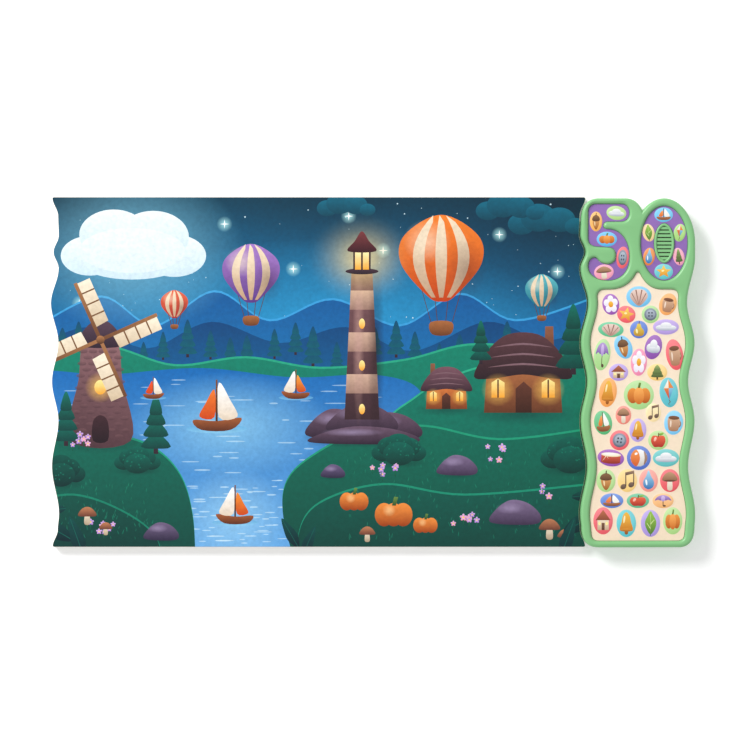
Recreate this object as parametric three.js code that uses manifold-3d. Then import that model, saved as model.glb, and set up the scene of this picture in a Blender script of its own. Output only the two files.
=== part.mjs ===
// Sound book: a children's board book lying open, with a moulded sound module beside its right page.
// Millimetres, +Z up, seen from above as it is read: +X to the reader's right, +Y to the page tops.
// The origin is under the middle of the open book, on the surface that it lies on.

import * as THREE from 'three';
import { mergeVertices } from 'three/addons/utils/BufferGeometryUtils.js';
import Module from 'manifold-3d';

const wasm = await Module();
wasm.setup();

// Book
const pageHeight = 265;
const pageWidth = 203; // gutter to the furthest reach of the wavy fore edge
const waveDepth = 6.1; // crest to trough of the wavy edges
const pageCornerRadius = 1.5;
const boardThickness = 2.2;
const leafThickness = 2;
const leavesPerSide = 3;
const leafLineHeight = 0.14; // thin shadow line between leaves, seen on the edges
const leafLineDepth = 0.3;
const gutterGap = 0.6; // between the two spine edges
const pageClearance = 0.8; // fore edge to module wall

// Module, outside
const moduleWidth = 86.6;
const moduleTopStep = 1.3; // the module's top edge lies this far below the top of the pages
const moduleCornerWidth = 13;
const moduleCornerHeight = 17;
const rimTop = 18.5; // height of the raised rim over the table
const partingHeight = 8; // where the front and rear housings meet
const outerRound = 2.8;
const innerRound = 1.4;
const wall = 2.2;
const deckTop = 15.5; // recessed deck that carries the membranes
const deckThickness = 1.8;

// Module, windows
const rimWidth = 5.7; // rim beside and over the digits
const sideRim = 6.8; // rim beside the long key field
const bottomRim = 4.9;
const digitWeb = 6.5; // rim between the digits and the long key field
const fiveWidth = 31.4;
const digitHeight = 58;
const zeroHalfWidth = 17.8;
const zeroHalfHeight = 28.1;
const fieldPeakWidth = 5.4; // point of the long field that rises between the digits
const fieldPeakRise = 13;
const fieldCornerRadius = 6;
const islandHalfWidth = 7.6; // speaker grille that stands inside the 0
const islandHalfHeight = 14.9;
const islandTop = 17.9;
const islandRound = 0.9;
const grilleRecess = 0.9;
const grilleBorder = 1.9;
const slotCount = 10;
const slotPitch = 2.84;
const slotWidth = 0.9;

// Films and keys
const membraneThickness = 0.5;
const filmThickness = 0.4;
const keyRise = 0.35; // soft oval swelling of each key
const keySlope = 0.8;
const filmClearance = 0.3;
const tailWidth = 12;
const tailThickness = 0.4;
const tailSetIn = 5; // tail to the lower end of its window
const fit = 0.3; // clearance between neighbouring pieces

// Module, underside
const coverInset = 0.6; // the back cover keeps this far inside the module's outline
const bossBottom = 0.4; // battery boss and door stop this far above the table
const bossWidth = 46;
const bossLength = 46;
const bossCentreY = 30;
const floorThickness = 1.8;
const doorWidth = 41.4;
const doorLength = 21.4;
const doorThickness = 1.4;
const doorCentreY = 20;
const doorScrewOffset = 6.6;
const cellRowOffset = 3.6;
const switchTravel = 4;
const switchOffset = 13; // switch above the middle of the boss

// Inside
const cellRadius = 5.8;
const cellHeight = 5.4;
const cellCount = 3;
const cellPitch = 12;
const contactThickness = 0.4;
const wellWall = 1.2;
const boardBottom = 7.6;
const circuitThickness = 1.6;
const circuitWidth = 52;
const circuitLength = 40;
const chipRadius = 5;
const standoffRadius = 2.6;
const standoffInset = 4;
const speakerRadius = 18;
const speakerFlange = 1;
const basketInset = 2; // speaker's flange reaches this far outside its basket
const sheet = 0.6; // basket's sheet metal
const coneThickness = 0.6;
const magnetRadius = 10;
const magnetHeight = 3.6;
const basketDepth = 4.2;
const speakerRibHeight = 2;
const postRadius = 3.5;
const postInset = 1.6;
const screwRadius = 1.25;
const screwHeadRadius = 2.6;
const screwHeadHeight = 1.6;
const screwTipSetback = 1.2;
const wireRadius = 0.6;
const wireClearance = 0.3;

// Worked out from the sizes above
const halfHeight = pageHeight / 2;
const halfModule = moduleWidth / 2;
const moduleTop = halfHeight - moduleTopStep;
const gutterX = -(pageClearance + moduleWidth - waveDepth) / 2;
const moduleX = gutterX + pageWidth + pageClearance + halfModule - waveDepth;
const zeroX = halfModule - rimWidth - zeroHalfWidth;
const zeroY = moduleTop - rimWidth - zeroHalfHeight;
const fiveLeft = rimWidth - halfModule;
const fiveTop = moduleTop - rimWidth + 1.5;
const fiveBottom = fiveTop - digitHeight;
const fieldShoulder = fiveBottom - digitWeb;
const fieldBottom = bottomRim - halfHeight;
const deckUnderside = deckTop - deckThickness;
const floorTop = boardThickness + floorThickness;
const membraneTop = deckTop + membraneThickness;
const filmTop = membraneTop + filmThickness;
const doorTop = bossBottom + doorThickness;
const cellBottom = doorTop + contactThickness;
const wellRoof = cellBottom + cellHeight + contactThickness;
const boxTop = wellRoof + wellWall;
const circuitTop = boardBottom + circuitThickness;
const circuitY = bossCentreY + bossLength / 2 - 17 + circuitLength / 2;
const basketRadius = speakerRadius - basketInset;
const basketBottom = deckUnderside - speakerFlange - basketDepth;
const cellRowY = doorCentreY - cellRowOffset;
const switchY = bossCentreY + switchOffset;

// The wavy edge, from the bottom of the page to the top:
// share of the page height, and how far the edge lies in there, as a share of the wave depth.
const pageWave = [
  [0, 0.8], [0.05, 0.15], [0.094, 0], [0.231, 0.87], [0.361, 0.08], [0.473, 0.87],
  [0.583, 0.08], [0.697, 1], [0.797, 0.05], [0.843, 0.68], [0.89, 0.03], [0.945, 0.1], [1, 0.84],
];
// The module's right side has no dip beside the 0.
const rightWave = [
  [0, 0.3], [0.094, 0], [0.231, 0.87], [0.361, 0.08], [0.473, 0.87],
  [0.583, 0.08], [0.697, 1], [0.83, 0], [0.867, 0],
];
const waveStep = 11; // longest straight step along a wave

// Keys: centre as shares of the window's width and height, half width, half height, tilt in degrees.
const fiveKeys = [
  [0.68, 0.88, 7.5, 5.3, -8], [0.19, 0.77, 4.7, 7.5, 0], [0.45, 0.54, 7.7, 5.6, 0],
  [0.83, 0.3, 4.7, 8.3, -6], [0.38, 0.11, 7.4, 5.8, 8],
];
const zeroKeys = [
  [0.49, 0.88, 7, 5.5, 0], [0.17, 0.64, 4.5, 6.7, 12], [0.83, 0.64, 4.5, 6.7, -10],
  [0.18, 0.32, 4.4, 6.8, -10], [0.81, 0.32, 4.3, 6.7, 12], [0.49, 0.12, 7, 5.9, 0],
];
const fieldKeys = [
  [0.22, 0.94, 6.4, 8, 10], [0.51, 0.97, 9.5, 8, 0], [0.81, 0.94, 6.5, 8.5, -20],
  [0.38, 0.9, 7.1, 6.4, -25], [0.63, 0.9, 6.7, 6.7, 0],
  [0.22, 0.84, 9.7, 5.7, -4], [0.51, 0.84, 6.7, 6.7, 0], [0.79, 0.85, 9.8, 5.8, 0],
  [0.13, 0.74, 6.2, 12, -8], [0.35, 0.77, 6.5, 9.2, 24], [0.66, 0.77, 6.4, 9.4, -15],
  [0.88, 0.74, 6.5, 11.8, 10], [0.51, 0.71, 6.1, 10.3, -3],
  [0.3, 0.67, 7.3, 6.5, 0], [0.7, 0.67, 7.6, 6.4, 0],
  [0.19, 0.59, 6.7, 11.1, -8], [0.51, 0.58, 11.4, 11.1, 0], [0.82, 0.59, 7, 11.3, 6],
  [0.14, 0.47, 6.8, 9.2, 10], [0.35, 0.5, 5.9, 7, 0], [0.66, 0.51, 5.8, 7, 0],
  [0.87, 0.47, 7.2, 9.2, -6], [0.5, 0.44, 6.4, 8.9, -3],
  [0.31, 0.4, 7.4, 7.6, -20], [0.71, 0.4, 7.6, 7.3, 0],
  [0.22, 0.33, 10.1, 6.4, -8], [0.51, 0.33, 9.1, 9.2, 0], [0.79, 0.33, 10, 6.7, 0],
  [0.17, 0.24, 7.2, 8.7, 0], [0.39, 0.24, 7.4, 8.7, 0],
  [0.61, 0.24, 7.1, 8.6, 0], [0.83, 0.24, 7.4, 8.7, 0],
  [0.23, 0.16, 8.7, 5.6, 0], [0.5, 0.16, 8.5, 5.5, 0], [0.76, 0.16, 8, 5.6, 0],
  [0.14, 0.08, 7.4, 10.3, 0], [0.38, 0.07, 7.4, 10.4, 0],
  [0.63, 0.07, 7.3, 10.2, 0], [0.86, 0.08, 7.3, 10.3, 0],
];

// Colours and finishes
const finishes = {
  coverPrint: { color: 0x0d4f62, roughness: 0.4 },
  pagePrint: { color: 0x0a6470, roughness: 0.35 },
  housing: { color: 0x86c485, roughness: 0.42 },
  digitFilm: { color: 0x9a76bc, roughness: 0.35 },
  fieldFilm: { color: 0xf8e5cd, roughness: 0.35 },
  membrane: { color: 0xd9d4c4, roughness: 0.6 },
  circuit: { color: 0x1f6b3a, roughness: 0.5 },
  blackPlastic: { color: 0x1b1b1d, roughness: 0.5 },
  sleeve: { color: 0x22314f, roughness: 0.4 },
  steel: { color: 0xc3c6c9, roughness: 0.3, metalness: 1 },
  darkSteel: { color: 0x6f7276, roughness: 0.4, metalness: 1 },
  cone: { color: 0xd8d2c2, roughness: 0.7 },
  redWire: { color: 0xb3202a, roughness: 0.5 },
  blackWire: { color: 0x202022, roughness: 0.5 },
};

// Outlines are closed lists of points, anticlockwise seen from above.

function waveAt(wave, share) {
  const upper = wave.findIndex(([at]) => at >= share);
  if (upper < 1) return wave[upper === 0 ? 0 : wave.length - 1][1];
  const [startShare, startDepth] = wave[upper - 1];
  const [endShare, endDepth] = wave[upper];
  const along = (share - startShare) / (endShare - startShare);
  return THREE.MathUtils.lerp(startDepth, endDepth, (1 - Math.cos(Math.PI * along)) / 2);
}

// Points up a wavy side between two heights, as [half width of the module there, y].
function waveSide(wave, bottom, top) {
  const heights = [bottom];
  for (let i = 1; i < wave.length; i += 1) {
    const start = wave[i - 1][0] * pageHeight - halfHeight;
    const end = wave[i][0] * pageHeight - halfHeight;
    const steps = Math.max(1, Math.round((end - start) / waveStep));
    for (let k = 0; k < steps; k += 1) heights.push(start + ((end - start) * k) / steps);
  }
  const inside = heights.filter((y, i) => i === 0 || (y > bottom + 1 && y < top - 1));
  inside.push(top);
  return inside.map((y) => [halfModule - waveDepth * waveAt(wave, (y + halfHeight) / pageHeight), y]);
}

function anticlockwise(points) {
  const clean = points.filter((p, i) => p.distanceTo(points[(i + 1) % points.length]) > 0.01);
  return THREE.ShapeUtils.isClockWise(clean) ? clean.reverse() : clean;
}

function curvePoints(curves, divisions) {
  return curves.flatMap((curve, i) => {
    const straight = curve instanceof THREE.LineCurve;
    return curve.getPoints(straight ? 1 : divisions).slice(i === 0 ? 0 : 1);
  });
}

function bend(x1, y1, x2, y2, x3, y3) {
  return new THREE.QuadraticBezierCurve(
    new THREE.Vector2(x1, y1), new THREE.Vector2(x2, y2), new THREE.Vector2(x3, y3),
  );
}

function sweep(x1, y1, x2, y2, x3, y3, x4, y4) {
  return new THREE.CubicBezierCurve(
    new THREE.Vector2(x1, y1), new THREE.Vector2(x2, y2),
    new THREE.Vector2(x3, y3), new THREE.Vector2(x4, y4),
  );
}

function straight(x1, y1, x2, y2) {
  return new THREE.LineCurve(new THREE.Vector2(x1, y1), new THREE.Vector2(x2, y2));
}

function ellipseOutline(x, y, halfWidth, halfLength, tilt = 0, segments = 28) {
  const turn = THREE.MathUtils.degToRad(tilt);
  const ellipse = new THREE.EllipseCurve(x, y, halfWidth, halfLength, 0, 2 * Math.PI, false, turn);
  return anticlockwise(ellipse.getPoints(segments));
}

function roundedRectangle(x, y, width, length, radius = 2) {
  const [left, right] = [x - width / 2, x + width / 2];
  const [bottom, top] = [y - length / 2, y + length / 2];
  const shape = new THREE.Shape();
  shape.absarc(right - radius, top - radius, radius, 0, Math.PI / 2);
  shape.absarc(left + radius, top - radius, radius, Math.PI / 2, Math.PI);
  shape.absarc(left + radius, bottom + radius, radius, Math.PI, 1.5 * Math.PI);
  shape.absarc(right - radius, bottom + radius, radius, 1.5 * Math.PI, 2 * Math.PI);
  return anticlockwise(shape.getPoints(2));
}

// Moves each point of an outline inwards, or outwards where the distance is negative.
function insetOutline(points, distance) {
  return points.map((point, i) => {
    const before = points[(i + points.length - 1) % points.length];
    const after = points[(i + 1) % points.length];
    const incoming = point.clone().sub(before).normalize();
    const outgoing = after.clone().sub(point).normalize();
    const inward = new THREE.Vector2(-incoming.y - outgoing.y, incoming.x + outgoing.x).normalize();
    const cosine = Math.max(0.5, inward.x * -incoming.y + inward.y * incoming.x);
    return point.clone().addScaledVector(inward, distance / cosine);
  });
}

function pageOutline() {
  const reach = (halfWidth) => pageWidth + halfModule - waveDepth - halfWidth;
  const radius = pageCornerRadius;
  const edge = waveSide(pageWave, radius - halfHeight, halfHeight - radius);
  const foreEdge = edge.map(([halfWidth, y]) => new THREE.Vector2(reach(halfWidth), y));
  const [low, high] = [foreEdge[0], foreEdge[foreEdge.length - 1]];
  return anticlockwise([
    new THREE.Vector2(gutterGap / 2, -halfHeight),
    ...bend(low.x - radius, -halfHeight, low.x, -halfHeight, low.x, low.y).getPoints(2),
    ...foreEdge,
    ...bend(high.x, high.y, high.x, halfHeight, high.x - radius, halfHeight).getPoints(2),
    new THREE.Vector2(gutterGap / 2, halfHeight),
  ]);
}

function moduleOutline() {
  const cornerBase = moduleCornerHeight - halfHeight;
  const cornerTop = moduleTop - moduleCornerHeight;
  const right = waveSide(rightWave, cornerBase, zeroY);
  const left = waveSide(pageWave, cornerBase, cornerTop).map(([x, y]) => [-x, y]).reverse();
  const [lowRight, lowLeft] = [right[0][0], left[left.length - 1][0]];
  const topLeft = left[0][0];
  const base = -halfHeight;
  const notchTurn = THREE.MathUtils.degToRad(134);
  const zeroRim = new THREE.EllipseCurve(
    zeroX, zeroY, zeroHalfWidth + rimWidth, zeroHalfHeight + rimWidth, 0, notchTurn,
  );
  const notch = zeroRim.getPoint(1);
  const fiveRight = notch.x - moduleCornerWidth;
  const corner = moduleCornerWidth;
  return anticlockwise([
    ...sweep(
      lowRight - corner, base, lowRight - corner / 3, base,
      lowRight, base + corner / 3, lowRight, cornerBase,
    ).getPoints(5),
    ...right.map(([x, y]) => new THREE.Vector2(x, y)),
    ...zeroRim.getPoints(11).slice(1),
    ...bend(notch.x, notch.y, notch.x - 4, moduleTop, fiveRight, moduleTop).getPoints(4),
    ...bend(topLeft + corner, moduleTop, topLeft, moduleTop, topLeft, cornerTop).getPoints(5),
    ...left.map(([x, y]) => new THREE.Vector2(x, y)),
    ...sweep(
      lowLeft, cornerBase, lowLeft, base + corner / 3,
      lowLeft + corner / 3, base, lowLeft + corner, base,
    ).getPoints(5),
  ]);
}

function fiveOutline() {
  const curves = [
    bend(0, 0.883, 0, 1, 0.2, 1),
    straight(0.2, 1, 0.8, 1),
    sweep(0.8, 1, 1.063, 1, 1.063, 0.766, 0.8, 0.766),
    straight(0.8, 0.766, 0.465, 0.766),
    sweep(0.465, 0.766, 0.345, 0.761, 0.333, 0.68, 0.441, 0.674),
    sweep(0.441, 0.674, 0.778, 0.68, 1, 0.53, 1, 0.308),
    sweep(1, 0.308, 1, 0.112, 0.778, 0, 0.477, 0),
    sweep(0.477, 0, 0.176, 0, 0, 0.08, 0, 0.19),
    sweep(0, 0.19, 0, 0.29, 0.152, 0.341, 0.248, 0.269),
    sweep(0.248, 0.269, 0.345, 0.197, 0.667, 0.184, 0.667, 0.328),
    bend(0.667, 0.328, 0.667, 0.433, 0.465, 0.433),
    straight(0.465, 0.433, 0.224, 0.44),
    bend(0.224, 0.44, 0, 0.445, 0, 0.556),
  ];
  const points = curvePoints(curves, 5);
  return anticlockwise(points.map(
    (p) => new THREE.Vector2(fiveLeft + p.x * fiveWidth, fiveBottom + p.y * digitHeight),
  ));
}

function zeroOutline() {
  return ellipseOutline(zeroX, zeroY, zeroHalfWidth, zeroHalfHeight);
}

function fieldOutline() {
  const radius = fieldCornerRadius;
  const shoulder = fieldShoulder;
  const sideTop = shoulder - radius;
  const side = waveSide(pageWave, fieldBottom + radius, sideTop)
    .map(([halfWidth, y]) => new THREE.Vector2(halfWidth - sideRim, y));
  const low = side[0].x;
  const high = side[side.length - 1].x;
  const peak = shoulder + fieldPeakRise;
  const flank = fieldPeakWidth / 2;
  const leftSide = side.map((p) => new THREE.Vector2(-p.x, p.y)).reverse();
  return anticlockwise([
    ...bend(low - radius, fieldBottom, low, fieldBottom, low, fieldBottom + radius).getPoints(4),
    ...side,
    ...bend(high, sideTop, high, shoulder + 1, high - radius, shoulder + 1).getPoints(4),
    ...sweep(0.6 * high, shoulder, 0.32 * high, shoulder, 0.2 * high, shoulder + 4.5,
      flank, peak - 3).getPoints(6),
    ...bend(flank, peak - 3, 0, peak + 2, -flank, peak - 3).getPoints(4),
    ...sweep(-flank, peak - 3, -0.2 * high, shoulder + 4.5, -0.4 * high, shoulder,
      -0.7 * high, shoulder).getPoints(6),
    ...bend(radius - high, shoulder, -high, shoulder, -high, sideTop).getPoints(4),
    ...leftSide,
    ...bend(-low, fieldBottom + radius, -low, fieldBottom, radius - low, fieldBottom).getPoints(4),
  ]);
}

// Closed skin through copies of one outline, each level being [inset, z], lowest level first.
function stackOutlines(outline, levels) {
  const rings = levels.map(([inset, z]) => ({ z, points: insetOutline(outline, inset) }));
  const count = outline.length;
  const positions = rings.flatMap(({ z, points }) => points.flatMap((p) => [p.x, p.y, z]));
  const index = [];
  for (let level = 1; level < rings.length; level += 1) {
    for (let i = 0; i < count; i += 1) {
      const next = (i + 1) % count;
      const [a, b] = [(level - 1) * count + i, (level - 1) * count + next];
      const [c, d] = [level * count + i, level * count + next];
      index.push(a, b, d, a, d, c);
    }
  }
  const last = (rings.length - 1) * count;
  for (const [a, b, c] of THREE.ShapeUtils.triangulateShape(rings[0].points, [])) {
    index.push(a, c, b);
  }
  for (const [a, b, c] of THREE.ShapeUtils.triangulateShape(rings[rings.length - 1].points, [])) {
    index.push(last + a, last + b, last + c);
  }
  const geometry = new THREE.BufferGeometry();
  geometry.setAttribute('position', new THREE.Float32BufferAttribute(positions, 3));
  geometry.setIndex(index);
  return geometry;
}

function plate(outline, bottom, top) {
  const geometry = new THREE.ExtrudeGeometry(new THREE.Shape(outline), {
    depth: top - bottom, bevelEnabled: false, steps: 1,
  });
  return geometry.translate(0, 0, bottom);
}

function block(x, y, width, length, bottom, top) {
  const geometry = new THREE.BoxGeometry(width, length, top - bottom);
  return geometry.translate(x, y, (bottom + top) / 2);
}

function drum(x, y, radius, bottom, top, segments = 10) {
  const geometry = new THREE.CylinderGeometry(radius, radius, top - bottom, segments);
  return geometry.rotateX(Math.PI / 2).translate(x, y, (bottom + top) / 2);
}

// Turned piece from [radius, z] points that start and end on the axis, or close on themselves.
function turned(x, y, profile, segments = 24) {
  const points = profile.map(([radius, z]) => new THREE.Vector2(radius, z));
  return new THREE.LatheGeometry(points, segments).rotateX(Math.PI / 2).translate(x, y, 0);
}

function toSolid(geometry) {
  const bare = geometry.clone();
  bare.deleteAttribute('normal');
  bare.deleteAttribute('uv');
  const merged = mergeVertices(bare, 1e-4);
  return new wasm.Manifold(new wasm.Mesh({
    numProp: 3,
    vertProperties: new Float32Array(merged.attributes.position.array),
    triVerts: new Uint32Array(merged.index.array),
  }));
}

function join(...geometries) {
  return geometries.map(toSolid).reduce((whole, piece) => whole.add(piece));
}

function cut(solid, ...geometries) {
  return geometries.map(toSolid).reduce((whole, piece) => whole.subtract(piece), solid);
}

function toGeometry(solid) {
  const mesh = solid.getMesh();
  const geometry = new THREE.BufferGeometry();
  geometry.setAttribute('position', new THREE.BufferAttribute(mesh.vertProperties, 3));
  geometry.setIndex(new THREE.BufferAttribute(mesh.triVerts, 1));
  geometry.computeVertexNormals();
  return geometry;
}

function addPiece(group, name, shape, finish) {
  const geometry = shape instanceof THREE.BufferGeometry ? shape : toGeometry(shape);
  const mesh = new THREE.Mesh(geometry, new THREE.MeshStandardMaterial(finish));
  mesh.name = name;
  group.add(mesh);
}

// The book's own pieces

const pageShape = pageOutline();
const leftShape = anticlockwise(pageShape.map((p) => new THREE.Vector2(-p.x, p.y)));
const moduleShape = moduleOutline();
const moduleFromGutter = moduleX - gutterX;

function pageStack(outline) {
  const levels = [];
  for (let leaf = 0; leaf < leavesPerSide; leaf += 1) {
    const bottom = boardThickness + leaf * leafThickness;
    const top = bottom + leafThickness;
    const line = leaf === leavesPerSide - 1 ? 0 : leafLineHeight;
    levels.push([0, bottom], [0, top - line]);
    if (line > 0) levels.push([leafLineDepth, top - line], [leafLineDepth, top]);
  }
  return stackOutlines(outline, levels);
}

// One die-cut board under the right pages and the module, open where the battery boss comes through.
function backCover() {
  const board = insetOutline(moduleShape, coverInset)
    .map((p) => new THREE.Vector2(p.x + moduleFromGutter, p.y));
  const bridgeWidth = 2 * waveDepth + pageClearance;
  const bridgeTop = moduleTop - moduleCornerHeight;
  const bridgeBottom = moduleCornerHeight / 2 - halfHeight;
  const bridge = block(
    pageWidth - waveDepth / 2 + pageClearance, (bridgeTop + bridgeBottom) / 2,
    bridgeWidth, bridgeTop - bridgeBottom, 0, boardThickness,
  );
  const opening = roundedRectangle(
    moduleFromGutter, bossCentreY, bossWidth + 2 * fit, bossLength + 2 * fit,
  );
  const whole = join(plate(pageShape, 0, boardThickness), plate(board, 0, boardThickness), bridge);
  return cut(whole, plate(opening, -1, boardThickness + 1));
}

// The module's housings, around the module's own centre line

const screwPlaces = [
  [-1, 0.094], [1, 0.094], [-1, 0.361], [1, 0.361], [-1, 0.583], [1, 0.583],
].map(([side, share]) => {
  const halfWidth = halfModule - waveDepth * waveAt(pageWave, share);
  return [side * (halfWidth - wall - postRadius - postInset), share * pageHeight - halfHeight];
});
const topPostY = moduleTop - wall - postRadius - postInset;
screwPlaces.push([fiveLeft + fiveWidth / 4, topPostY], [zeroX, topPostY]);

const screwSeat = floorTop + 1;
const screwTip = deckUnderside - screwTipSetback;

function windowCut(outline) {
  return stackOutlines(outline, [
    [0, deckTop], [0, rimTop - innerRound], [-innerRound, rimTop], [-innerRound, rimTop + 1],
  ]);
}

function outerSkin() {
  const levels = [[0, partingHeight]];
  for (const degrees of [0, 50, 90]) {
    const angle = THREE.MathUtils.degToRad(degrees);
    const inset = outerRound * (1 - Math.cos(angle));
    levels.push([inset, rimTop - outerRound * (1 - Math.sin(angle))]);
  }
  return stackOutlines(moduleShape, levels);
}

function grilleIsland() {
  const rim = ellipseOutline(zeroX, zeroY, islandHalfWidth, islandHalfHeight, 0, 24);
  const field = insetOutline(rim, grilleBorder);
  const island = toSolid(stackOutlines(rim, [
    [0, deckTop - deckThickness / 2], [0, islandTop - islandRound],
    [islandRound * 0.3, islandTop - islandRound * 0.3], [islandRound, islandTop],
  ]));
  return cut(island, plate(field, islandTop - grilleRecess, islandTop + 1));
}

// Slots across the grille, each as long as the oval field is wide at its height.
function grilleSlots() {
  const halfWidth = islandHalfWidth - grilleBorder;
  const halfLength = islandHalfHeight - grilleBorder;
  return Array.from({ length: slotCount }, (unused, i) => {
    const offset = (i - (slotCount - 1) / 2) * slotPitch;
    const chord = Math.sqrt(Math.max(0.05, 1 - (offset / halfLength) ** 2));
    const length = 2 * halfWidth * chord;
    return block(zeroX, zeroY + offset, length, slotWidth, deckUnderside - 1, islandTop);
  });
}

const tails = {
  five: [fiveLeft + fiveWidth / 2, fiveBottom + tailSetIn],
  zero: [zeroX, zeroY - zeroHalfHeight + tailSetIn],
  main: [0, fieldShoulder - tailSetIn],
};

function frontHousing() {
  const posts = screwPlaces.map(([x, y]) => drum(x, y, postRadius, partingHeight, deckTop - 1));
  const bores = screwPlaces.map(
    ([x, y]) => drum(x, y, screwRadius + fit, partingHeight - 1, screwTip + fit, 8),
  );
  const ribBottom = deckUnderside - speakerRibHeight;
  const rib = cut(
    toSolid(drum(zeroX, zeroY, speakerRadius + fit + wall / 2, ribBottom, deckTop - 1, 24)),
    drum(zeroX, zeroY, speakerRadius + fit, ribBottom - 1, deckUnderside, 24),
  );
  const tailSlots = Object.values(tails).map(([x, y]) => block(
    x, y, tailWidth + 2 * fit, tailThickness + 2 * fit, deckUnderside - 1, deckTop + 1,
  ));
  const cavity = plate(insetOutline(moduleShape, wall), partingHeight - 1, deckUnderside);
  const windows = [fiveOutline(), zeroOutline(), fieldOutline()].map(windowCut);
  let shell = cut(toSolid(outerSkin()), cavity, ...windows);
  shell = shell.add(rib).add(grilleIsland());
  shell = posts.map(toSolid).reduce((whole, post) => whole.add(post), shell);
  return cut(shell, ...bores, ...tailSlots, ...grilleSlots());
}

const doorShape = roundedRectangle(0, doorCentreY, doorWidth, doorLength, 1.5);
const doorScrewY = doorCentreY + doorScrewOffset;
const wellLength = 2 * cellRadius + 2 * fit;
const wellWidth = (cellCount - 1) * cellPitch + wellLength;
const padWidth = 5;
const padLength = 4.4;
const stemWidth = 2.4;
const stemLength = 1.8;
const pocketDepth = 2;
const doorScrewLength = 5;
const standoffs = [-1, 1].flatMap((side) => [-1, 1].map((end) => [
  side * (circuitWidth / 2 - standoffInset), circuitY + end * (circuitLength / 2 - standoffInset),
]));

function rearHousing() {
  const tray = cut(
    toSolid(plate(moduleShape, boardThickness, partingHeight)),
    plate(insetOutline(moduleShape, wall), floorTop, partingHeight + 1),
  );
  const boss = plate(
    roundedRectangle(0, bossCentreY, bossWidth, bossLength), bossBottom, floorTop - 0.5,
  );
  const box = block(
    0, cellRowY, wellWidth + 2 * wellWall, wellLength + 2 * wellWall, boardThickness + 0.5, boxTop,
  );
  const doorPost = drum(0, doorScrewY, 2.8, boardThickness + 0.5, boxTop);
  const posts = [...screwPlaces.map(([x, y]) => drum(x, y, postRadius, floorTop - 0.5, partingHeight)),
    ...standoffs.map(([x, y]) => drum(x, y, standoffRadius, floorTop - 0.5, boardBottom))];
  const solid = [boss, box, doorPost, ...posts].map(toSolid)
    .reduce((whole, piece) => whole.add(piece), tray);
  return cut(
    solid,
    plate(insetOutline(doorShape, -fit), bossBottom - 1, doorTop),
    block(0, cellRowY, wellWidth, wellLength, doorTop - 0.5, wellRoof),
    drum(0, doorScrewY, 1.15 + fit, doorTop - 0.5, doorTop + doorScrewLength + fit, 12),
    block(0, switchY, padWidth + switchTravel + 4 * fit, padLength + 2 * fit,
      bossBottom - 1, bossBottom + pocketDepth),
    block(0, switchY, stemWidth + switchTravel + 2 * fit, stemLength + 2 * fit,
      bossBottom, floorTop + 1),
    ...screwPlaces.flatMap(([x, y]) => [
      drum(x, y, screwRadius + fit, boardThickness - 1, partingHeight + 1, 8),
      drum(x, y, screwHeadRadius + fit, boardThickness - 1, screwSeat),
    ]),
    ...standoffs.map(([x, y]) => drum(x, y, 1 + fit, floorTop + 0.6, boardBottom + 1, 8)),
  );
}

// Films and membranes

function keySwelling([x, y, halfWidth, halfLength, tilt]) {
  const oval = ellipseOutline(x, y, halfWidth, halfLength, tilt, 12);
  const root = filmTop - filmThickness / 2;
  return stackOutlines(oval, [[0, root], [0, filmTop], [keySlope, filmTop + keyRise]]);
}

function keyFilm(outline, keys, [left, bottom, width, length]) {
  const edge = insetOutline(outline, filmClearance);
  const places = keys.map(
    ([across, up, ...rest]) => [left + across * width, bottom + up * length, ...rest],
  );
  const swellings = places.map(keySwelling).map(toSolid).reduce((whole, key) => whole.add(key));
  const trim = toSolid(plate(edge, membraneTop, filmTop + keyRise + 1));
  return toSolid(plate(edge, membraneTop, filmTop)).add(swellings.intersect(trim));
}

function keyMembrane(outline, [x, y]) {
  const sheet = plate(insetOutline(outline, filmClearance), deckTop, membraneTop);
  const tail = block(x, y, tailWidth, tailThickness, circuitTop, deckTop + membraneThickness / 2);
  return join(sheet, tail);
}

// Cuts the grille island's place out of the 0's film and membrane.
function aroundIsland(solid) {
  const island = ellipseOutline(zeroX, zeroY, islandHalfWidth + fit, islandHalfHeight + fit, 0, 24);
  return cut(solid, plate(island, circuitTop, rimTop));
}

// Circuit, power and sound

function circuitBoard() {
  const board = block(0, circuitY, circuitWidth, circuitLength, boardBottom, circuitTop);
  return cut(toSolid(board), ...standoffs.map(([x, y]) => drum(x, y, 1 + fit, 0, rimTop, 8)));
}

function screw(x, y, headRadius, headTop, headHeight, shankRadius, tip) {
  return turned(x, y, [
    [0, headTop - headHeight], [headRadius, headTop - headHeight], [headRadius, headTop],
    [shankRadius, headTop], [shankRadius, tip], [0, tip],
  ], 6);
}

function doorScrew() {
  const head = 1.1;
  const body = toSolid(screw(0, doorScrewY, 2.2, bossBottom + head, head - 0.2, 1.15,
    doorTop + doorScrewLength));
  const cross = [[2.6, 0.6], [0.6, 2.6]];
  return cut(body, ...cross.map(([w, l]) => block(0, doorScrewY, w, l, 0, bossBottom + 0.7)));
}

function batteryDoor() {
  return cut(
    toSolid(plate(doorShape, bossBottom, doorTop)),
    drum(0, doorScrewY, 2.2 + fit, 0, bossBottom + 1.1, 20),
    drum(0, doorScrewY, 1.15 + fit, 0, doorTop + 1, 12),
    ...[-1, 1].flatMap((side) => [0, 1, 2].map((i) => block(
      side * (doorWidth / 2 - 3 - i * 1.6), doorScrewY, 0.8, 6, 0, bossBottom + 0.4,
    ))),
  );
}

function boardScrew([x, y]) {
  const head = turned(x, y, [
    [0, boardBottom - 2.6], [1, boardBottom - 2.6], [1, circuitTop],
    [1.9, circuitTop], [1.7, circuitTop + 1], [0, circuitTop + 1.2],
  ], 8);
  return head;
}

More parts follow.
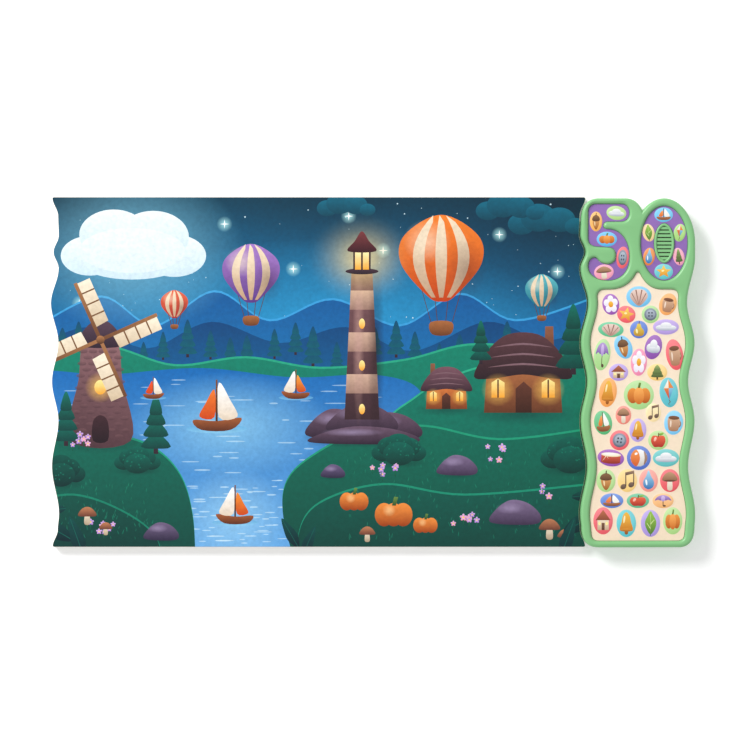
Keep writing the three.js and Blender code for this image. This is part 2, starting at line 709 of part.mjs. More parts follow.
function speakerFrame() {
  const top = deckUnderside;
  const neck = basketBottom + basketDepth / 2;
  const hub = magnetRadius / 2;
  return turned(zeroX, zeroY, [
    [hub, basketBottom], [magnetRadius + 1, basketBottom], [basketRadius + sheet, neck],
    [basketRadius + sheet, top - speakerFlange], [speakerRadius, top - speakerFlange],
    [speakerRadius, top], [basketRadius, top], [basketRadius, neck + sheet / 2],
    [magnetRadius + 1 - sheet, basketBottom + sheet], [hub, basketBottom + sheet],
    [hub, basketBottom],
  ], 18);
}

function speakerCone() {
  const top = deckUnderside - fit;
  const low = basketBottom + sheet + fit;
  const coil = magnetRadius / 2 - fit;
  const rim = basketRadius - fit;
  return turned(zeroX, zeroY, [
    [0, low + 1.4], [coil - 1, low], [coil, low], [rim - 1, top - 2 * coneThickness],
    [rim, top - coneThickness], [rim, top], [rim - 1, top - coneThickness],
    [coil - 0.4, low + coneThickness], [0, low + 1.4 + coneThickness],
  ], 18);
}

function wire(route) {
  const path = new THREE.CatmullRomCurve3(route.map(([x, y, z]) => new THREE.Vector3(x, y, z)));
  const section = new THREE.Shape();
  section.absarc(0, 0, wireRadius, 0, 2 * Math.PI);
  return new THREE.ExtrudeGeometry(section, {
    steps: 6, extrudePath: path, bevelEnabled: false, curveSegments: 3,
  });
}

function addBook(scene) {
  const leftHalf = new THREE.Group();
  leftHalf.position.x = gutterX;
  addPiece(leftHalf, 'front_cover', plate(leftShape, 0, boardThickness), finishes.coverPrint);
  addPiece(leftHalf, 'left_pages', pageStack(leftShape), finishes.pagePrint);
  const rightHalf = new THREE.Group();
  rightHalf.position.x = gutterX;
  addPiece(rightHalf, 'back_cover', backCover(), finishes.coverPrint);
  addPiece(rightHalf, 'right_pages', pageStack(pageShape), finishes.pagePrint);
  scene.add(leftHalf, rightHalf);
}

function addHousing(module) {
  addPiece(module, 'front_housing', frontHousing(), finishes.housing);
  addPiece(module, 'rear_housing', rearHousing(), finishes.housing);
  screwPlaces.forEach(([x, y], i) => addPiece(
    module, `housing_screw_${i + 1}`,
    screw(x, y, screwHeadRadius, screwSeat, screwHeadHeight, screwRadius, screwTip), finishes.darkSteel,
  ));
}

function addKeys(module) {
  const [five, zero, field] = [fiveOutline(), zeroOutline(), fieldOutline()];
  const halfField = halfModule - sideRim;
  const fiveBox = [fiveLeft, fiveBottom, fiveWidth, digitHeight];
  const zeroBox = [zeroX - zeroHalfWidth, zeroY - zeroHalfHeight, 2 * zeroHalfWidth, 2 * zeroHalfHeight];
  const fieldBox = [-halfField, fieldBottom, 2 * halfField, fieldShoulder - fieldBottom];
  addPiece(module, 'overlay_five', keyFilm(five, fiveKeys, fiveBox), finishes.digitFilm);
  addPiece(module, 'overlay_zero', aroundIsland(keyFilm(zero, zeroKeys, zeroBox)), finishes.digitFilm);
  addPiece(module, 'overlay_main', keyFilm(field, fieldKeys, fieldBox), finishes.fieldFilm);
  addPiece(module, 'key_membrane_five', keyMembrane(five, tails.five), finishes.membrane);
  addPiece(module, 'key_membrane_zero', aroundIsland(keyMembrane(zero, tails.zero)), finishes.membrane);
  addPiece(module, 'key_membrane_main', keyMembrane(field, tails.main), finishes.membrane);
}

function addPower(module) {
  addPiece(module, 'battery_door', batteryDoor(), finishes.housing);
  addPiece(module, 'door_screw', doorScrew(), finishes.darkSteel);
  const cellX = (i) => (i - (cellCount - 1) / 2) * cellPitch;
  for (let i = 0; i < cellCount; i += 1) {
    const cell = turned(cellX(i), cellRowY, [
      [0, cellBottom], [cellRadius - 1, cellBottom], [cellRadius, cellBottom + 0.8],
      [cellRadius, cellBottom + cellHeight], [0, cellBottom + cellHeight],
    ], 12);
    addPiece(module, `button_cell_${i + 1}`, cell, finishes.steel);
  }
  const contact = (name, x, width, bottom) => addPiece(
    module, name, block(x, cellRowY, width, 9, bottom, bottom + contactThickness), finishes.steel,
  );
  const roof = wellRoof - contactThickness;
  contact('contact_plus', cellX(0), 9, roof);
  contact('contact_bridge_upper', (cellX(1) + cellX(2)) / 2, 9 + cellPitch, roof);
  contact('contact_bridge_lower', (cellX(0) + cellX(1)) / 2, 9 + cellPitch, doorTop);
  contact('contact_minus', cellX(2), 9, doorTop);
  addPiece(module, 'switch_body', block(0, switchY, 9, 4.6, floorTop, boardBottom), finishes.steel);
  const padBottom = bossBottom + 0.5;
  const padTop = bossBottom + pocketDepth - fit;
  const knob = join(
    block(-switchTravel / 2, switchY, padWidth, padLength, padBottom, padTop),
    block(-switchTravel / 2, switchY, stemWidth, stemLength, padTop - 0.2, floorTop - fit),
  );
  const grooves = [-1.2, 0, 1.2].map(
    (x) => block(x - switchTravel / 2, switchY, 0.5, padLength + 1, 0, padBottom + 0.3),
  );
  addPiece(module, 'switch_knob', cut(knob, ...grooves), finishes.blackPlastic);
  const route = (x) => {
    const [rise, start, end] = [boxTop + 2, cellRowY + 2, circuitY - circuitLength / 2 + 4];
    return [[x, start, boxTop + wireClearance], [x, start + 2, rise], [x, (start + end) / 2, rise],
      [x, end - 2, rise], [x, end, circuitTop + wireClearance]];
  };
  addPiece(module, 'battery_wire_plus', wire(route(cellX(0))), finishes.redWire);
  addPiece(module, 'battery_wire_minus', wire(route(cellX(2))), finishes.blackWire);
}

function addCircuit(module) {
  addPiece(module, 'circuit_board', circuitBoard(), finishes.circuit);
  addPiece(module, 'board_screw_1', boardScrew(standoffs[0]), finishes.darkSteel);
  addPiece(module, 'board_screw_2', boardScrew(standoffs[3]), finishes.darkSteel);
  const partsY = tails.main[1] - chipRadius - 3;
  const chip = turned(-10, partsY, [
    [0, circuitTop], [chipRadius, circuitTop], [chipRadius - 0.8, circuitTop + 0.8],
    [chipRadius / 2, circuitTop + 1.4],
    [0, circuitTop + 1.6],
  ], 12);
  addPiece(module, 'sound_chip', chip, finishes.blackPlastic);
  const capacitor = turned(10, partsY, [
    [0, circuitTop], [2.5, circuitTop], [2.5, circuitTop + 3.6], [2.2, circuitTop + 3.9],
    [0, circuitTop + 3.9],
  ], 12);
  addPiece(module, 'capacitor', capacitor, finishes.sleeve);
}

function addSpeaker(module) {
  addPiece(module, 'speaker_frame', speakerFrame(), finishes.steel);
  addPiece(module, 'speaker_cone', speakerCone(), finishes.cone);
  addPiece(module, 'speaker_magnet',
    drum(zeroX, zeroY, magnetRadius, basketBottom - magnetHeight, basketBottom, 20), finishes.darkSteel);
  const below = (x, radius) => zeroY - Math.sqrt(radius ** 2 - (x - zeroX) ** 2);
  const lead = wireRadius + wireClearance;
  const boardEdge = circuitY + circuitLength / 2;
  const route = (x) => [
    [x, below(x, basketRadius - 1.5), basketBottom + lead / 2],
    [x, below(x, speakerRadius), basketBottom + lead],
    [x, boardEdge + 1, circuitTop + lead + 0.1], [x, boardEdge - 3, circuitTop + lead],
  ];
  addPiece(module, 'speaker_wire_plus', wire(route(zeroX - 9)), finishes.redWire);
  addPiece(module, 'speaker_wire_minus', wire(route(zeroX - 11.4)), finishes.blackWire);
}

const soundBook = new THREE.Group();
const soundModule = new THREE.Group();
soundModule.position.x = moduleX;
addBook(soundBook);
addHousing(soundModule);
addKeys(soundModule);
addPower(soundModule);
addCircuit(soundModule);
addSpeaker(soundModule);
soundBook.add(soundModule);

export default soundBook;
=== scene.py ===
# %% [markdown]
# # A sound book, seen from above
# A children's board book lies open on a white table. A moulded sound module with fifty film keys
# runs down its right side. The CAD model already gives every hinge, screw and battery its place,
# so this lesson only dresses it: rounder plastic, printed paper, keys with a soft swelling.

import math
import random

import bmesh
import bpy
from mathutils import Matrix, Vector
from mathutils.geometry import delaunay_2d_cdt


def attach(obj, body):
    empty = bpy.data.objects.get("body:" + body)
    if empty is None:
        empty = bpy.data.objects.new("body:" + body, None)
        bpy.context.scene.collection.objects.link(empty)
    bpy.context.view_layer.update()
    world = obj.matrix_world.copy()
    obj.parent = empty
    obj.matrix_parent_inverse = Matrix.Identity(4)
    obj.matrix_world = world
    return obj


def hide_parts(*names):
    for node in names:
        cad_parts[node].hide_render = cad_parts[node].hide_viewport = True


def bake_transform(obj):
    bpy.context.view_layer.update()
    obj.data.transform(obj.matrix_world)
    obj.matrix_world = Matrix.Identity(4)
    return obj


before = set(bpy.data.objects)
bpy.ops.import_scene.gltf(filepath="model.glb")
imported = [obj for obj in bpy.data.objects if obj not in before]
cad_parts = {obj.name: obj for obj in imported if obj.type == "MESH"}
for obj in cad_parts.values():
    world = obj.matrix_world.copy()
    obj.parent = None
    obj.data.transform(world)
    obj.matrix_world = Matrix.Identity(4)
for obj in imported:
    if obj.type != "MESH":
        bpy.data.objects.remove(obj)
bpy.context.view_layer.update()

# %% [markdown]
# ## Colours and nodes
# A colour picker shows sRGB values, but a shader wants linear light, so one function converts
# them. A second function adds any node with its settings and its links, which keeps each material
# short enough to read like a recipe.

# %% Two helpers for every material
def linear(code):
    """A hex colour such as 86c485 as linear red, green, blue and alpha."""
    parts = [int(code[i:i + 2], 16) / 255 for i in (0, 2, 4)]
    return tuple(c / 12.92 if c < 0.04045 else ((c + 0.055) / 1.055) ** 2.4 for c in parts) + (1.0,)


def add_node(tree, kind, settings=(), links=()):
    node = tree.nodes.new(kind)
    for name, value in dict(settings).items():
        if isinstance(name, int) or name in node.inputs:
            node.inputs[name].default_value = value
        else:
            setattr(node, name, value)
    for name, source in dict(links).items():
        tree.links.new(source, node.inputs[name])
    return node


print("white is", linear("ffffff"))
WHITE = (1.0, 1.0, 1.0, 1.0)

# %% [markdown]
# ## The shader that all solid finishes share
# Moulded plastic, sheet metal and wire all need three things: a slight change of tone over the
# surface, a fine relief, and a roughness that isn't quite even. Noise on Object coordinates gives
# all three, and because those are real metres, a grain of 0.4 mm is a scale of 1 / 0.0004.

# %% A material from its real facts
def solid_finish(name, base, worn, grain_mm, relief_mm, roughness, **shader):
    material = bpy.data.materials.new(name)
    material.use_nodes = True
    tree = material.node_tree
    tree.nodes.clear()
    where = add_node(tree, "ShaderNodeTexCoord").outputs["Object"]
    fine = add_node(tree, "ShaderNodeTexNoise", {"Scale": 1000 / grain_mm, "Detail": 3.0}, {"Vector": where})
    broad = add_node(tree, "ShaderNodeTexNoise", {"Scale": 60.0, "Detail": 2.0}, {"Vector": where})
    tone = add_node(tree, "ShaderNodeMix", {"data_type": "RGBA", 6: linear(base), 7: linear(worn)},
                    {0: broad.outputs["Fac"]})
    gloss = add_node(tree, "ShaderNodeMapRange",
                     {"From Min": 0.3, "From Max": 0.7, "To Min": roughness - 0.05, "To Max": roughness + 0.06},
                     {"Value": fine.outputs["Fac"]})
    relief = add_node(tree, "ShaderNodeBump", {"Strength": 0.35, "Distance": relief_mm / 1000},
                      {"Height": fine.outputs["Fac"]})
    surface = add_node(tree, "ShaderNodeBsdfPrincipled", shader,
                       {"Base Color": tone.outputs[2], "Roughness": gloss.outputs[0],
                        "Normal": relief.outputs[0]})
    add_node(tree, "ShaderNodeOutputMaterial", links={"Surface": surface.outputs[0]})
    return material


# Moulded ABS from a spark-eroded tool: an even satin with the faintest orange-peel grain.
green_abs = solid_finish("moulded_abs_green", "86c485", "80bf80", 0.5, 0.02, 0.36, IOR=1.53)
# Moulded ABS in black, used for the switch and the resin blob over the chip.
black_abs = solid_finish("moulded_abs_black", "1b1b1d", "26262a", 0.4, 0.02, 0.45, IOR=1.53)
# Cut grey board: matt, fibrous, with the off-white of its coated liners.
cut_board = solid_finish("cut_white_board", "e9e6dd", "d9d4c8", 0.25, 0.05, 0.8, IOR=1.5)
# Polyester sheet with printed silver and carbon contacts: pale, with a slight haze.
contact_sheet = solid_finish("printed_polyester_sheet", "d9d4c4", "cfc9b8", 0.3, 0.01, 0.5, IOR=1.6)
# Glass-fibre board under green solder resist: glossy over a fine weave.
circuit_resist = solid_finish("solder_resist_on_glass_fibre", "1f6b3a", "185a30", 0.6, 0.02, 0.32, IOR=1.52)
# Nickel-plated sheet steel: bright, with fine rolling marks.
plated_steel = solid_finish("nickel_plated_steel", "c9ccce", "b7babd", 0.3, 0.01, 0.26, Metallic=1.0)
# Zinc-black screws and the ferrite magnet: dull dark metal.
dark_steel = solid_finish("blackened_steel", "6f7276", "5c5f63", 0.3, 0.01, 0.4, Metallic=1.0)
# Pressed paper pulp of the speaker's cone: soft and matt.
cone_pulp = solid_finish("pressed_paper_pulp", "d8d2c2", "c8c1ae", 0.3, 0.05, 0.85, IOR=1.5)
# Shrink sleeve on the capacitor, and PVC on the hook-up wires: smooth and slightly waxy.
blue_sleeve = solid_finish("shrink_sleeve_blue", "22314f", "1b2844", 0.5, 0.01, 0.35, IOR=1.54)
red_pvc = solid_finish("pvc_insulation_red", "b3202a", "a31b25", 0.5, 0.01, 0.42, IOR=1.54)
black_pvc = solid_finish("pvc_insulation_black", "202022", "2a2a2d", 0.5, 0.01, 0.42, IOR=1.54)
print("solid finishes", len(bpy.data.materials))

# %% [markdown]
# ## Printer's ink
# Ink on coated board and ink behind a polyester film differ only in their gloss. The colour of a
# print isn't worked out here: each printed piece carries its own drawing as a colour attribute
# named ink, and this shader adds what the press adds, a slight mottle of the paper and a clear
# laminate on top.

# %% A material for printed pieces
def printed_finish(name, depth, roughness, coat, mottle):
    material = bpy.data.materials.new(name)
    material.use_nodes = True
    tree = material.node_tree
    tree.nodes.clear()
    where = add_node(tree, "ShaderNodeTexCoord").outputs["Object"]
    ink = add_node(tree, "ShaderNodeAttribute", {"attribute_name": "ink"})
    # Ink that sinks into paper and is sealed looks deeper than ink behind film; white stays white.
    deep = add_node(tree, "ShaderNodeGamma", {"Gamma": depth}, {"Color": ink.outputs["Color"]})
    # Brushed pigment, 3 mm across, as in gouache artwork; the halftone itself is too fine to show.
    brush = add_node(tree, "ShaderNodeTexNoise", {"Scale": 330.0, "Detail": 6.0, "Roughness": 0.62},
                     {"Vector": where})
    level = add_node(tree, "ShaderNodeMapRange",
                     {"From Min": 0.3, "From Max": 0.7, "To Min": 1 - mottle, "To Max": 1 + mottle},
                     {"Value": brush.outputs["Fac"]})
    colour = add_node(tree, "ShaderNodeVectorMath", {"operation": "SCALE"},
                      {0: deep.outputs[0], "Scale": level.outputs[0]})
    fibre = add_node(tree, "ShaderNodeTexNoise", {"Scale": 900.0, "Detail": 2.0}, {"Vector": where})
    relief = add_node(tree, "ShaderNodeBump", {"Strength": 0.12, "Distance": 0.00002},
                      {"Height": fibre.outputs["Fac"]})
    surface = add_node(tree, "ShaderNodeBsdfPrincipled",
                       {"Roughness": roughness, "IOR": 1.5, "Coat Weight": coat, "Coat Roughness": 0.22,
                        "Specular IOR Level": 0.25},
                       {"Base Color": colour.outputs[0], "Normal": relief.outputs[0]})
    add_node(tree, "ShaderNodeOutputMaterial", links={"Surface": surface.outputs[0]})
    return material


# Four-colour offset print under matt laminate: deep colours, broad soft reflections.
printed_board = printed_finish("offset_print_on_board", depth=1.2, roughness=0.55, coat=0.05, mottle=0.10)
# Polyester film printed on its back: the same ink, seen through a smoother face.
printed_film = printed_finish("back_printed_polyester", depth=1.0, roughness=0.42, coat=0.08, mottle=0.03)
print("printed finishes ready")

# %% [markdown]
# ## Camera, light and table
# The photograph looks straight down from far away, so the camera stands three metres over the
# book with a long lens. Its frame is 744 by 744, and one pixel of it is 0.757 mm on the book. A
# large lamp at the upper left gives the raised rim its bright left edge and its dark right edge.

# %% Camera, lamp, world and table
PIXEL, FRAME_PIXELS = 0.7571e-3, 744
SENSOR, CAMERA_DISTANCE, PAGE_LEVEL = 36.0, 3.0, 0.008
camera_data = bpy.data.cameras.new("camera")
camera = bpy.data.objects.new("camera", camera_data)
camera.location = (-0.4e-3, 0.0, CAMERA_DISTANCE + PAGE_LEVEL)
camera_data.sensor_width = SENSOR
camera_data.lens = SENSOR * CAMERA_DISTANCE / (FRAME_PIXELS * PIXEL)
camera_data.clip_end = 20.0
bpy.context.scene.collection.objects.link(camera)
bpy.context.scene.camera = camera

lamp_data = bpy.data.lights.new("soft_box", "AREA")
lamp_data.shape = "DISK"
lamp_data.size = 1.4
lamp_data.energy = 84.0
lamp = bpy.data.objects.new("soft_box", lamp_data)
lamp.location = (-1.75, 1.75, 1.9)
lamp.rotation_euler = Vector(lamp.location).to_track_quat("Z", "Y").to_euler()
bpy.context.scene.collection.objects.link(lamp)

world = bpy.data.worlds.new("studio")
world.use_nodes = True
sky = world.node_tree.nodes["Background"].inputs
sky["Color"].default_value, sky["Strength"].default_value = WHITE, 0.6
bpy.context.scene.world = world
bpy.context.scene.view_settings.view_transform = "Standard"

table_mesh = bpy.data.meshes.new("table")
bm = bmesh.new()
just_below = Matrix.Translation((0, 0, -0.00005))
bmesh.ops.create_grid(bm, x_segments=1, y_segments=1, size=4.0, matrix=just_below)
bm.to_mesh(table_mesh)
bm.free()
table = bpy.data.objects.new("table", table_mesh)
bpy.context.scene.collection.objects.link(table)
# Opal acrylic, lit a little from below as product photographers do, so that no hard shadow stays.
opal = {"Emission Color": WHITE, "Emission Strength": 0.22}
table_mesh.materials.append(solid_finish("white_table", "fbfbfb", "f7f7f7", 2.0, 0.005, 0.7, IOR=1.45, **opal))
print("camera lens", round(camera_data.lens, 1))

# %% [markdown]
# ## The sizes that the outlines follow
# The pieces drawn here must lie exactly over the CAD pieces, so the sizes and the wave tables are
# the CAD model's, in millimetres. Only the sampling is finer, which is what makes an edge round.

# %% Sizes of the book and the module, in millimetres
PAGE_HEIGHT, PAGE_WIDTH, WAVE_DEPTH = 265.0, 203.0, 6.1
HALF_HEIGHT = PAGE_HEIGHT / 2
MODULE_WIDTH = 86.6
HALF_MODULE = MODULE_WIDTH / 2
MODULE_TOP = HALF_HEIGHT - 1.3
CORNER_WIDTH, CORNER_HEIGHT = 13.0, 17.0
GUTTER_X = -(0.8 + MODULE_WIDTH - WAVE_DEPTH) / 2
MODULE_X = GUTTER_X + PAGE_WIDTH + 0.8 + HALF_MODULE - WAVE_DEPTH
RIM, SIDE_RIM, BOTTOM_RIM, DIGIT_WEB = 5.7, 6.8, 4.9, 6.5
FIVE_WIDTH, DIGIT_HEIGHT = 31.4, 58.0
ZERO_HALF_WIDTH, ZERO_HALF_HEIGHT = 17.8, 28.25
FIVE_LEFT = RIM - HALF_MODULE
FIVE_BOTTOM = MODULE_TOP - RIM + 1.5 - DIGIT_HEIGHT
ZERO_X = HALF_MODULE - RIM - ZERO_HALF_WIDTH
ZERO_Y = FIVE_BOTTOM + ZERO_HALF_HEIGHT
SHOULDER = FIVE_BOTTOM - DIGIT_WEB
FIELD_BOTTOM = BOTTOM_RIM - HALF_HEIGHT
RIM_TOP, PARTING, DECK_TOP, DECK_UNDER = 18.5, 8.0, 15.5, 13.7
WALL, BOARD, LEAF, PAGE_TOP = 2.2, 2.2, 2.0, 8.2
SCREW_SET_IN, POST, POST_HOLE = 7.3, 3.5, 1.55
print("gutter at", GUTTER_X, "module at", MODULE_X, "zero at", (ZERO_X, ZERO_Y))

# %% The wavy edge: share of the page height, and depth there as a share of the wave
PAGE_WAVE = [(0, 0.8), (0.05, 0.15), (0.094, 0), (0.231, 0.87), (0.361, 0.08), (0.473, 0.87),
             (0.583, 0.08), (0.697, 1), (0.797, 0.05), (0.843, 0.68), (0.89, 0.03), (0.945, 0.1), (1, 0.84)]
RIGHT_WAVE = [(0, 0.3), (0.094, 0), (0.231, 0.87), (0.361, 0.08), (0.473, 0.87), (0.583, 0.08),
              (0.697, 1), (0.83, 0), (0.867, 0)]


def wave_at(wave, share):
    for (start, low), (end, high) in zip(wave, wave[1:]):
        if share <= end:
            along = (share - start) / (end - start)
            return low + (high - low) * (1 - math.cos(math.pi * along)) / 2
    return wave[-1][1]


def wave_side(wave, bottom, top, step=2.0):
    """Points up a side of the module, as half width and height."""
    count = math.ceil((top - bottom) / step)
    heights = [bottom + (top - bottom) * i / count for i in range(count + 1)]
    return [(HALF_MODULE - WAVE_DEPTH * wave_at(wave, (y + HALF_HEIGHT) / PAGE_HEIGHT), y) for y in heights]


def bezier(*points, count=10):
    """Points along a Bezier curve with any number of control points, its start left out."""
    found = []
    for i in range(1, count + 1):
        level, t = [Vector(p) for p in points], i / count
        while len(level) > 1:
            level = [a.lerp(b, t) for a, b in zip(level, level[1:])]
        found.append(tuple(level[0]))
    return found


def ellipse(x, y, half_width, half_height, tilt=0.0, count=48, scale=1.0):
    turn, points = math.radians(tilt), []
    for i in range(count):
        a = 2 * math.pi * i / count
        u, v = half_width * scale * math.cos(a), half_height * scale * math.sin(a)
        points.append((x + u * math.cos(turn) - v * math.sin(turn), y + u * math.sin(turn) + v * math.cos(turn)))
    return points


def disc(x, y, radius, count=24):
    return ellipse(x, y, radius, radius, count=count)


print("crest and trough", wave_at(PAGE_WAVE, 0.094), wave_at(PAGE_WAVE, 0.697))

# %% [markdown]
# ## The outlines
# Every sheet, leaf and moulding below is cut from one of five outlines: the page, the module, the
# 5, the 0 and the long key field. They could be traced as Bezier objects by hand, but then a later
# change of size would mean tracing again, so each is worked out from the sizes above.

# %% Page and module outlines
def page_outline(side):
    """The page to the right (1) or left (-1) of the gutter, in the book's own place."""
    radius, spine_gap, end = 1.5, 0.3, HALF_HEIGHT
    reach = [(PAGE_WIDTH + HALF_MODULE - WAVE_DEPTH - half, y)
             for half, y in wave_side(PAGE_WAVE, radius - end, end - radius)]
    low, high = reach[0], reach[-1]
    points = [(spine_gap, -end), (low[0] - radius, -end)]
    points += bezier(points[-1], (low[0], -end), (low[0], low[1]), count=4) + reach[1:]
    points += bezier(high, (high[0], end), (high[0] - radius, end), count=4) + [(spine_gap, end)]
    if side < 0:
        points = [(-x, y) for x, y in reversed(points)]
    return [(x + GUTTER_X, y) for x, y in points]


def module_outline():
    base, top_turn = CORNER_HEIGHT - HALF_HEIGHT, MODULE_TOP - CORNER_HEIGHT
    right = wave_side(RIGHT_WAVE, base, ZERO_Y)
    left = [(-x, y) for x, y in reversed(wave_side(PAGE_WAVE, base, top_turn))]
    low_right, low_left, corner = right[0][0], left[-1][0], CORNER_WIDTH
    points = bezier((low_right - corner, -HALF_HEIGHT), (low_right - corner / 3, -HALF_HEIGHT),
                    (low_right, -HALF_HEIGHT + corner / 3), (low_right, base), count=12)
    points += right[1:]
    notch_turn, steps = math.radians(134), 48
    for i in range(1, steps + 1):
        a = notch_turn * i / steps
        points.append((ZERO_X + (ZERO_HALF_WIDTH + RIM) * math.cos(a),
                       ZERO_Y + (ZERO_HALF_HEIGHT + RIM) * math.sin(a)))
    notch = points[-1]
    points += bezier(notch, (notch[0] - 4, MODULE_TOP), (notch[0] - corner, MODULE_TOP), count=10)
    points += [(left[0][0] + corner, MODULE_TOP)]
    points += bezier(points[-1], (left[0][0], MODULE_TOP), left[0], count=12)
    points += left[1:]
    points += bezier(left[-1], (low_left, -HALF_HEIGHT + corner / 3), (low_left + corner / 3, -HALF_HEIGHT),
                     (low_left + corner, -HALF_HEIGHT), count=12)
    return [(x + MODULE_X, y) for x, y in points]


print("module outline points", len(module_outline()))

# %% The three windows
FIVE_CURVES = [
    [(0, 0.883), (0, 1), (0.2, 1)], [(0.2, 1), (0.8, 1)], [(0.8, 1), (1.063, 1), (1.063, 0.766), (0.8, 0.766)],
    [(0.8, 0.766), (0.465, 0.766)], [(0.465, 0.766), (0.345, 0.761), (0.333, 0.68), (0.441, 0.674)],
    [(0.441, 0.674), (0.778, 0.68), (1, 0.53), (1, 0.308)], [(1, 0.308), (1, 0.112), (0.778, 0), (0.477, 0)],
    [(0.477, 0), (0.176, 0), (0, 0.08), (0, 0.19)], [(0, 0.19), (0, 0.29), (0.152, 0.341), (0.248, 0.269)],
    [(0.248, 0.269), (0.345, 0.197), (0.667, 0.184), (0.667, 0.328)],
    [(0.667, 0.328), (0.667, 0.433), (0.465, 0.433)], [(0.465, 0.433), (0.224, 0.44)],
    [(0.224, 0.44), (0, 0.445), (0, 0.556)]]


def five_outline():
    points = [p for curve in FIVE_CURVES for p in bezier(*curve, count=1 if len(curve) == 2 else 10)]
    points = [(MODULE_X + FIVE_LEFT + u * FIVE_WIDTH, FIVE_BOTTOM + v * DIGIT_HEIGHT) for u, v in points]
    return points[::-1]


def zero_outline():
    return ellipse(MODULE_X + ZERO_X, ZERO_Y, ZERO_HALF_WIDTH, ZERO_HALF_HEIGHT, count=72)


def field_outline():
    radius, top = 6.0, SHOULDER - 6.0
    side = [(half - SIDE_RIM, y) for half, y in wave_side(PAGE_WAVE, FIELD_BOTTOM + radius, top)]
    low, high, peak, foot = side[0][0], side[-1][0], SHOULDER + 13, SHOULDER + 13 / 3
    points = bezier((low - radius, FIELD_BOTTOM), (low, FIELD_BOTTOM), (low, FIELD_BOTTOM + radius), count=8)
    points += side[1:]
    points += bezier((high, top), (high, SHOULDER), (high - radius, SHOULDER), count=8)
    points += bezier((0.6 * high, SHOULDER), (0.32 * high, SHOULDER), (0.2 * high, foot), (2.7, peak - 3), count=14)
    points += bezier((2.7, peak - 3), (0, peak + 3), (-2.7, peak - 3), count=10)
    points += bezier((-2.7, peak - 3), (-0.2 * high, foot), (-0.4 * high, SHOULDER), (-0.7 * high, SHOULDER),
                     count=14)
    points += bezier((radius - high, SHOULDER), (-high, SHOULDER), (-high, top), count=8)
    points += [(-x, y) for x, y in reversed(side)][1:]
    points += bezier((-low, FIELD_BOTTOM + radius), (-low, FIELD_BOTTOM), (radius - low, FIELD_BOTTOM), count=8)
    return [(x + MODULE_X, y) for x, y in points]


print("window points", len(five_outline()), len(zero_outline()), len(field_outline()))

# %% [markdown]
# ## Cutting plates
# Boards, moulded walls and decks are all plates with holes and a rounded edge. A mesh could be
# bevelled edge by edge, but a filled 2D curve does it in one go: its first spline is the outline,
# further splines inside it are holes, Extrude gives the thickness and Bevel rounds every edge. The
# offset draws the curve in by the bevel, so the finished plate keeps the outline's size.

# %% A plate from a filled curve
def die_cut(outline, holes, bottom, top, bevel=0.0, square_base=False):
    """A closed plate as a bmesh in metres, its height between bottom and top in millimetres."""
    curve = bpy.data.curves.new("cutting_line", "CURVE")
    curve.dimensions, curve.fill_mode = "2D", "BOTH"
    low = bottom - 2 * bevel if square_base else bottom
    curve.extrude = (top - low) / 2000 - bevel / 1000
    curve.bevel_depth, curve.bevel_resolution, curve.offset = bevel / 1000, 5, -bevel / 1000
    for loop in [outline] + list(holes):
        spline = curve.splines.new("POLY")
        spline.points.add(len(loop) - 1)
        for point, (x, y) in zip(spline.points, loop):
            point.co = (x / 1000, y / 1000, 0.0, 1.0)
        spline.use_cyclic_u = True
    holder = bpy.data.objects.new("cutting_line", curve)
    mesh = bpy.data.meshes.new_from_object(holder)
    made = bmesh.new()
    made.from_mesh(mesh)
    bpy.data.objects.remove(holder)
    bpy.data.curves.remove(curve)
    bpy.data.meshes.remove(mesh)
    bmesh.ops.remove_doubles(made, verts=made.verts, dist=1e-7)
    bmesh.ops.translate(made, verts=made.verts, vec=(0, 0, (top + low) / 2000))
    if square_base:
        everything = made.verts[:] + made.edges[:] + made.faces[:]
        cut = bmesh.ops.bisect_plane(made, geom=everything, dist=1e-8, plane_co=(0, 0, bottom / 1000),
                                     plane_no=(0, 0, 1), clear_inner=True)
        rim = [e for e in cut["geom_cut"] if isinstance(e, bmesh.types.BMEdge)]
        bmesh.ops.triangle_fill(made, use_beauty=True, use_dissolve=False, edges=rim)
    bmesh.ops.recalc_face_normals(made, faces=made.faces)
    return made


def as_mesh(parts, name="part"):
    """Several bmeshes joined as one mesh."""
    mesh, whole = bpy.data.meshes.new(name), bmesh.new()
    for part in parts:
        part.to_mesh(mesh)
        whole.from_mesh(mesh)
        part.free()
    whole.to_mesh(mesh)
    whole.free()
    return mesh


def shown(mesh, name, material, finish, body, *nodes, smooth_below=32):
    """Puts a finished mesh in the scene as the piece that stands for some CAD nodes."""
    piece = bpy.data.objects.new(name, mesh)
    bpy.context.scene.collection.objects.link(piece)
    mesh.materials.append(material)
    mesh.shade_smooth()
    mesh.set_sharp_from_angle(angle=math.radians(smooth_below))
    if body:
        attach(piece, body)
    if nodes:
        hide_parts(*nodes)
    print(name, len(mesh.polygons), "faces")
    return piece


def carved(mesh, cutter_parts, operation="DIFFERENCE"):
    """The mesh less the cutters, or joined with them, by Blender's exact boolean."""
    holder = bpy.data.objects.new("blank", mesh)
    tool = bpy.data.objects.new("cutter", as_mesh(cutter_parts, "cutter"))
    for item in (holder, tool):
        bpy.context.scene.collection.objects.link(item)
    modifier = holder.modifiers.new("cut", "BOOLEAN")
    modifier.operation, modifier.solver, modifier.object = operation, "EXACT", tool
    result = bpy.data.meshes.new_from_object(holder.evaluated_get(bpy.context.evaluated_depsgraph_get()))
    for item in (holder, tool):
        bpy.data.objects.remove(item)
    return result


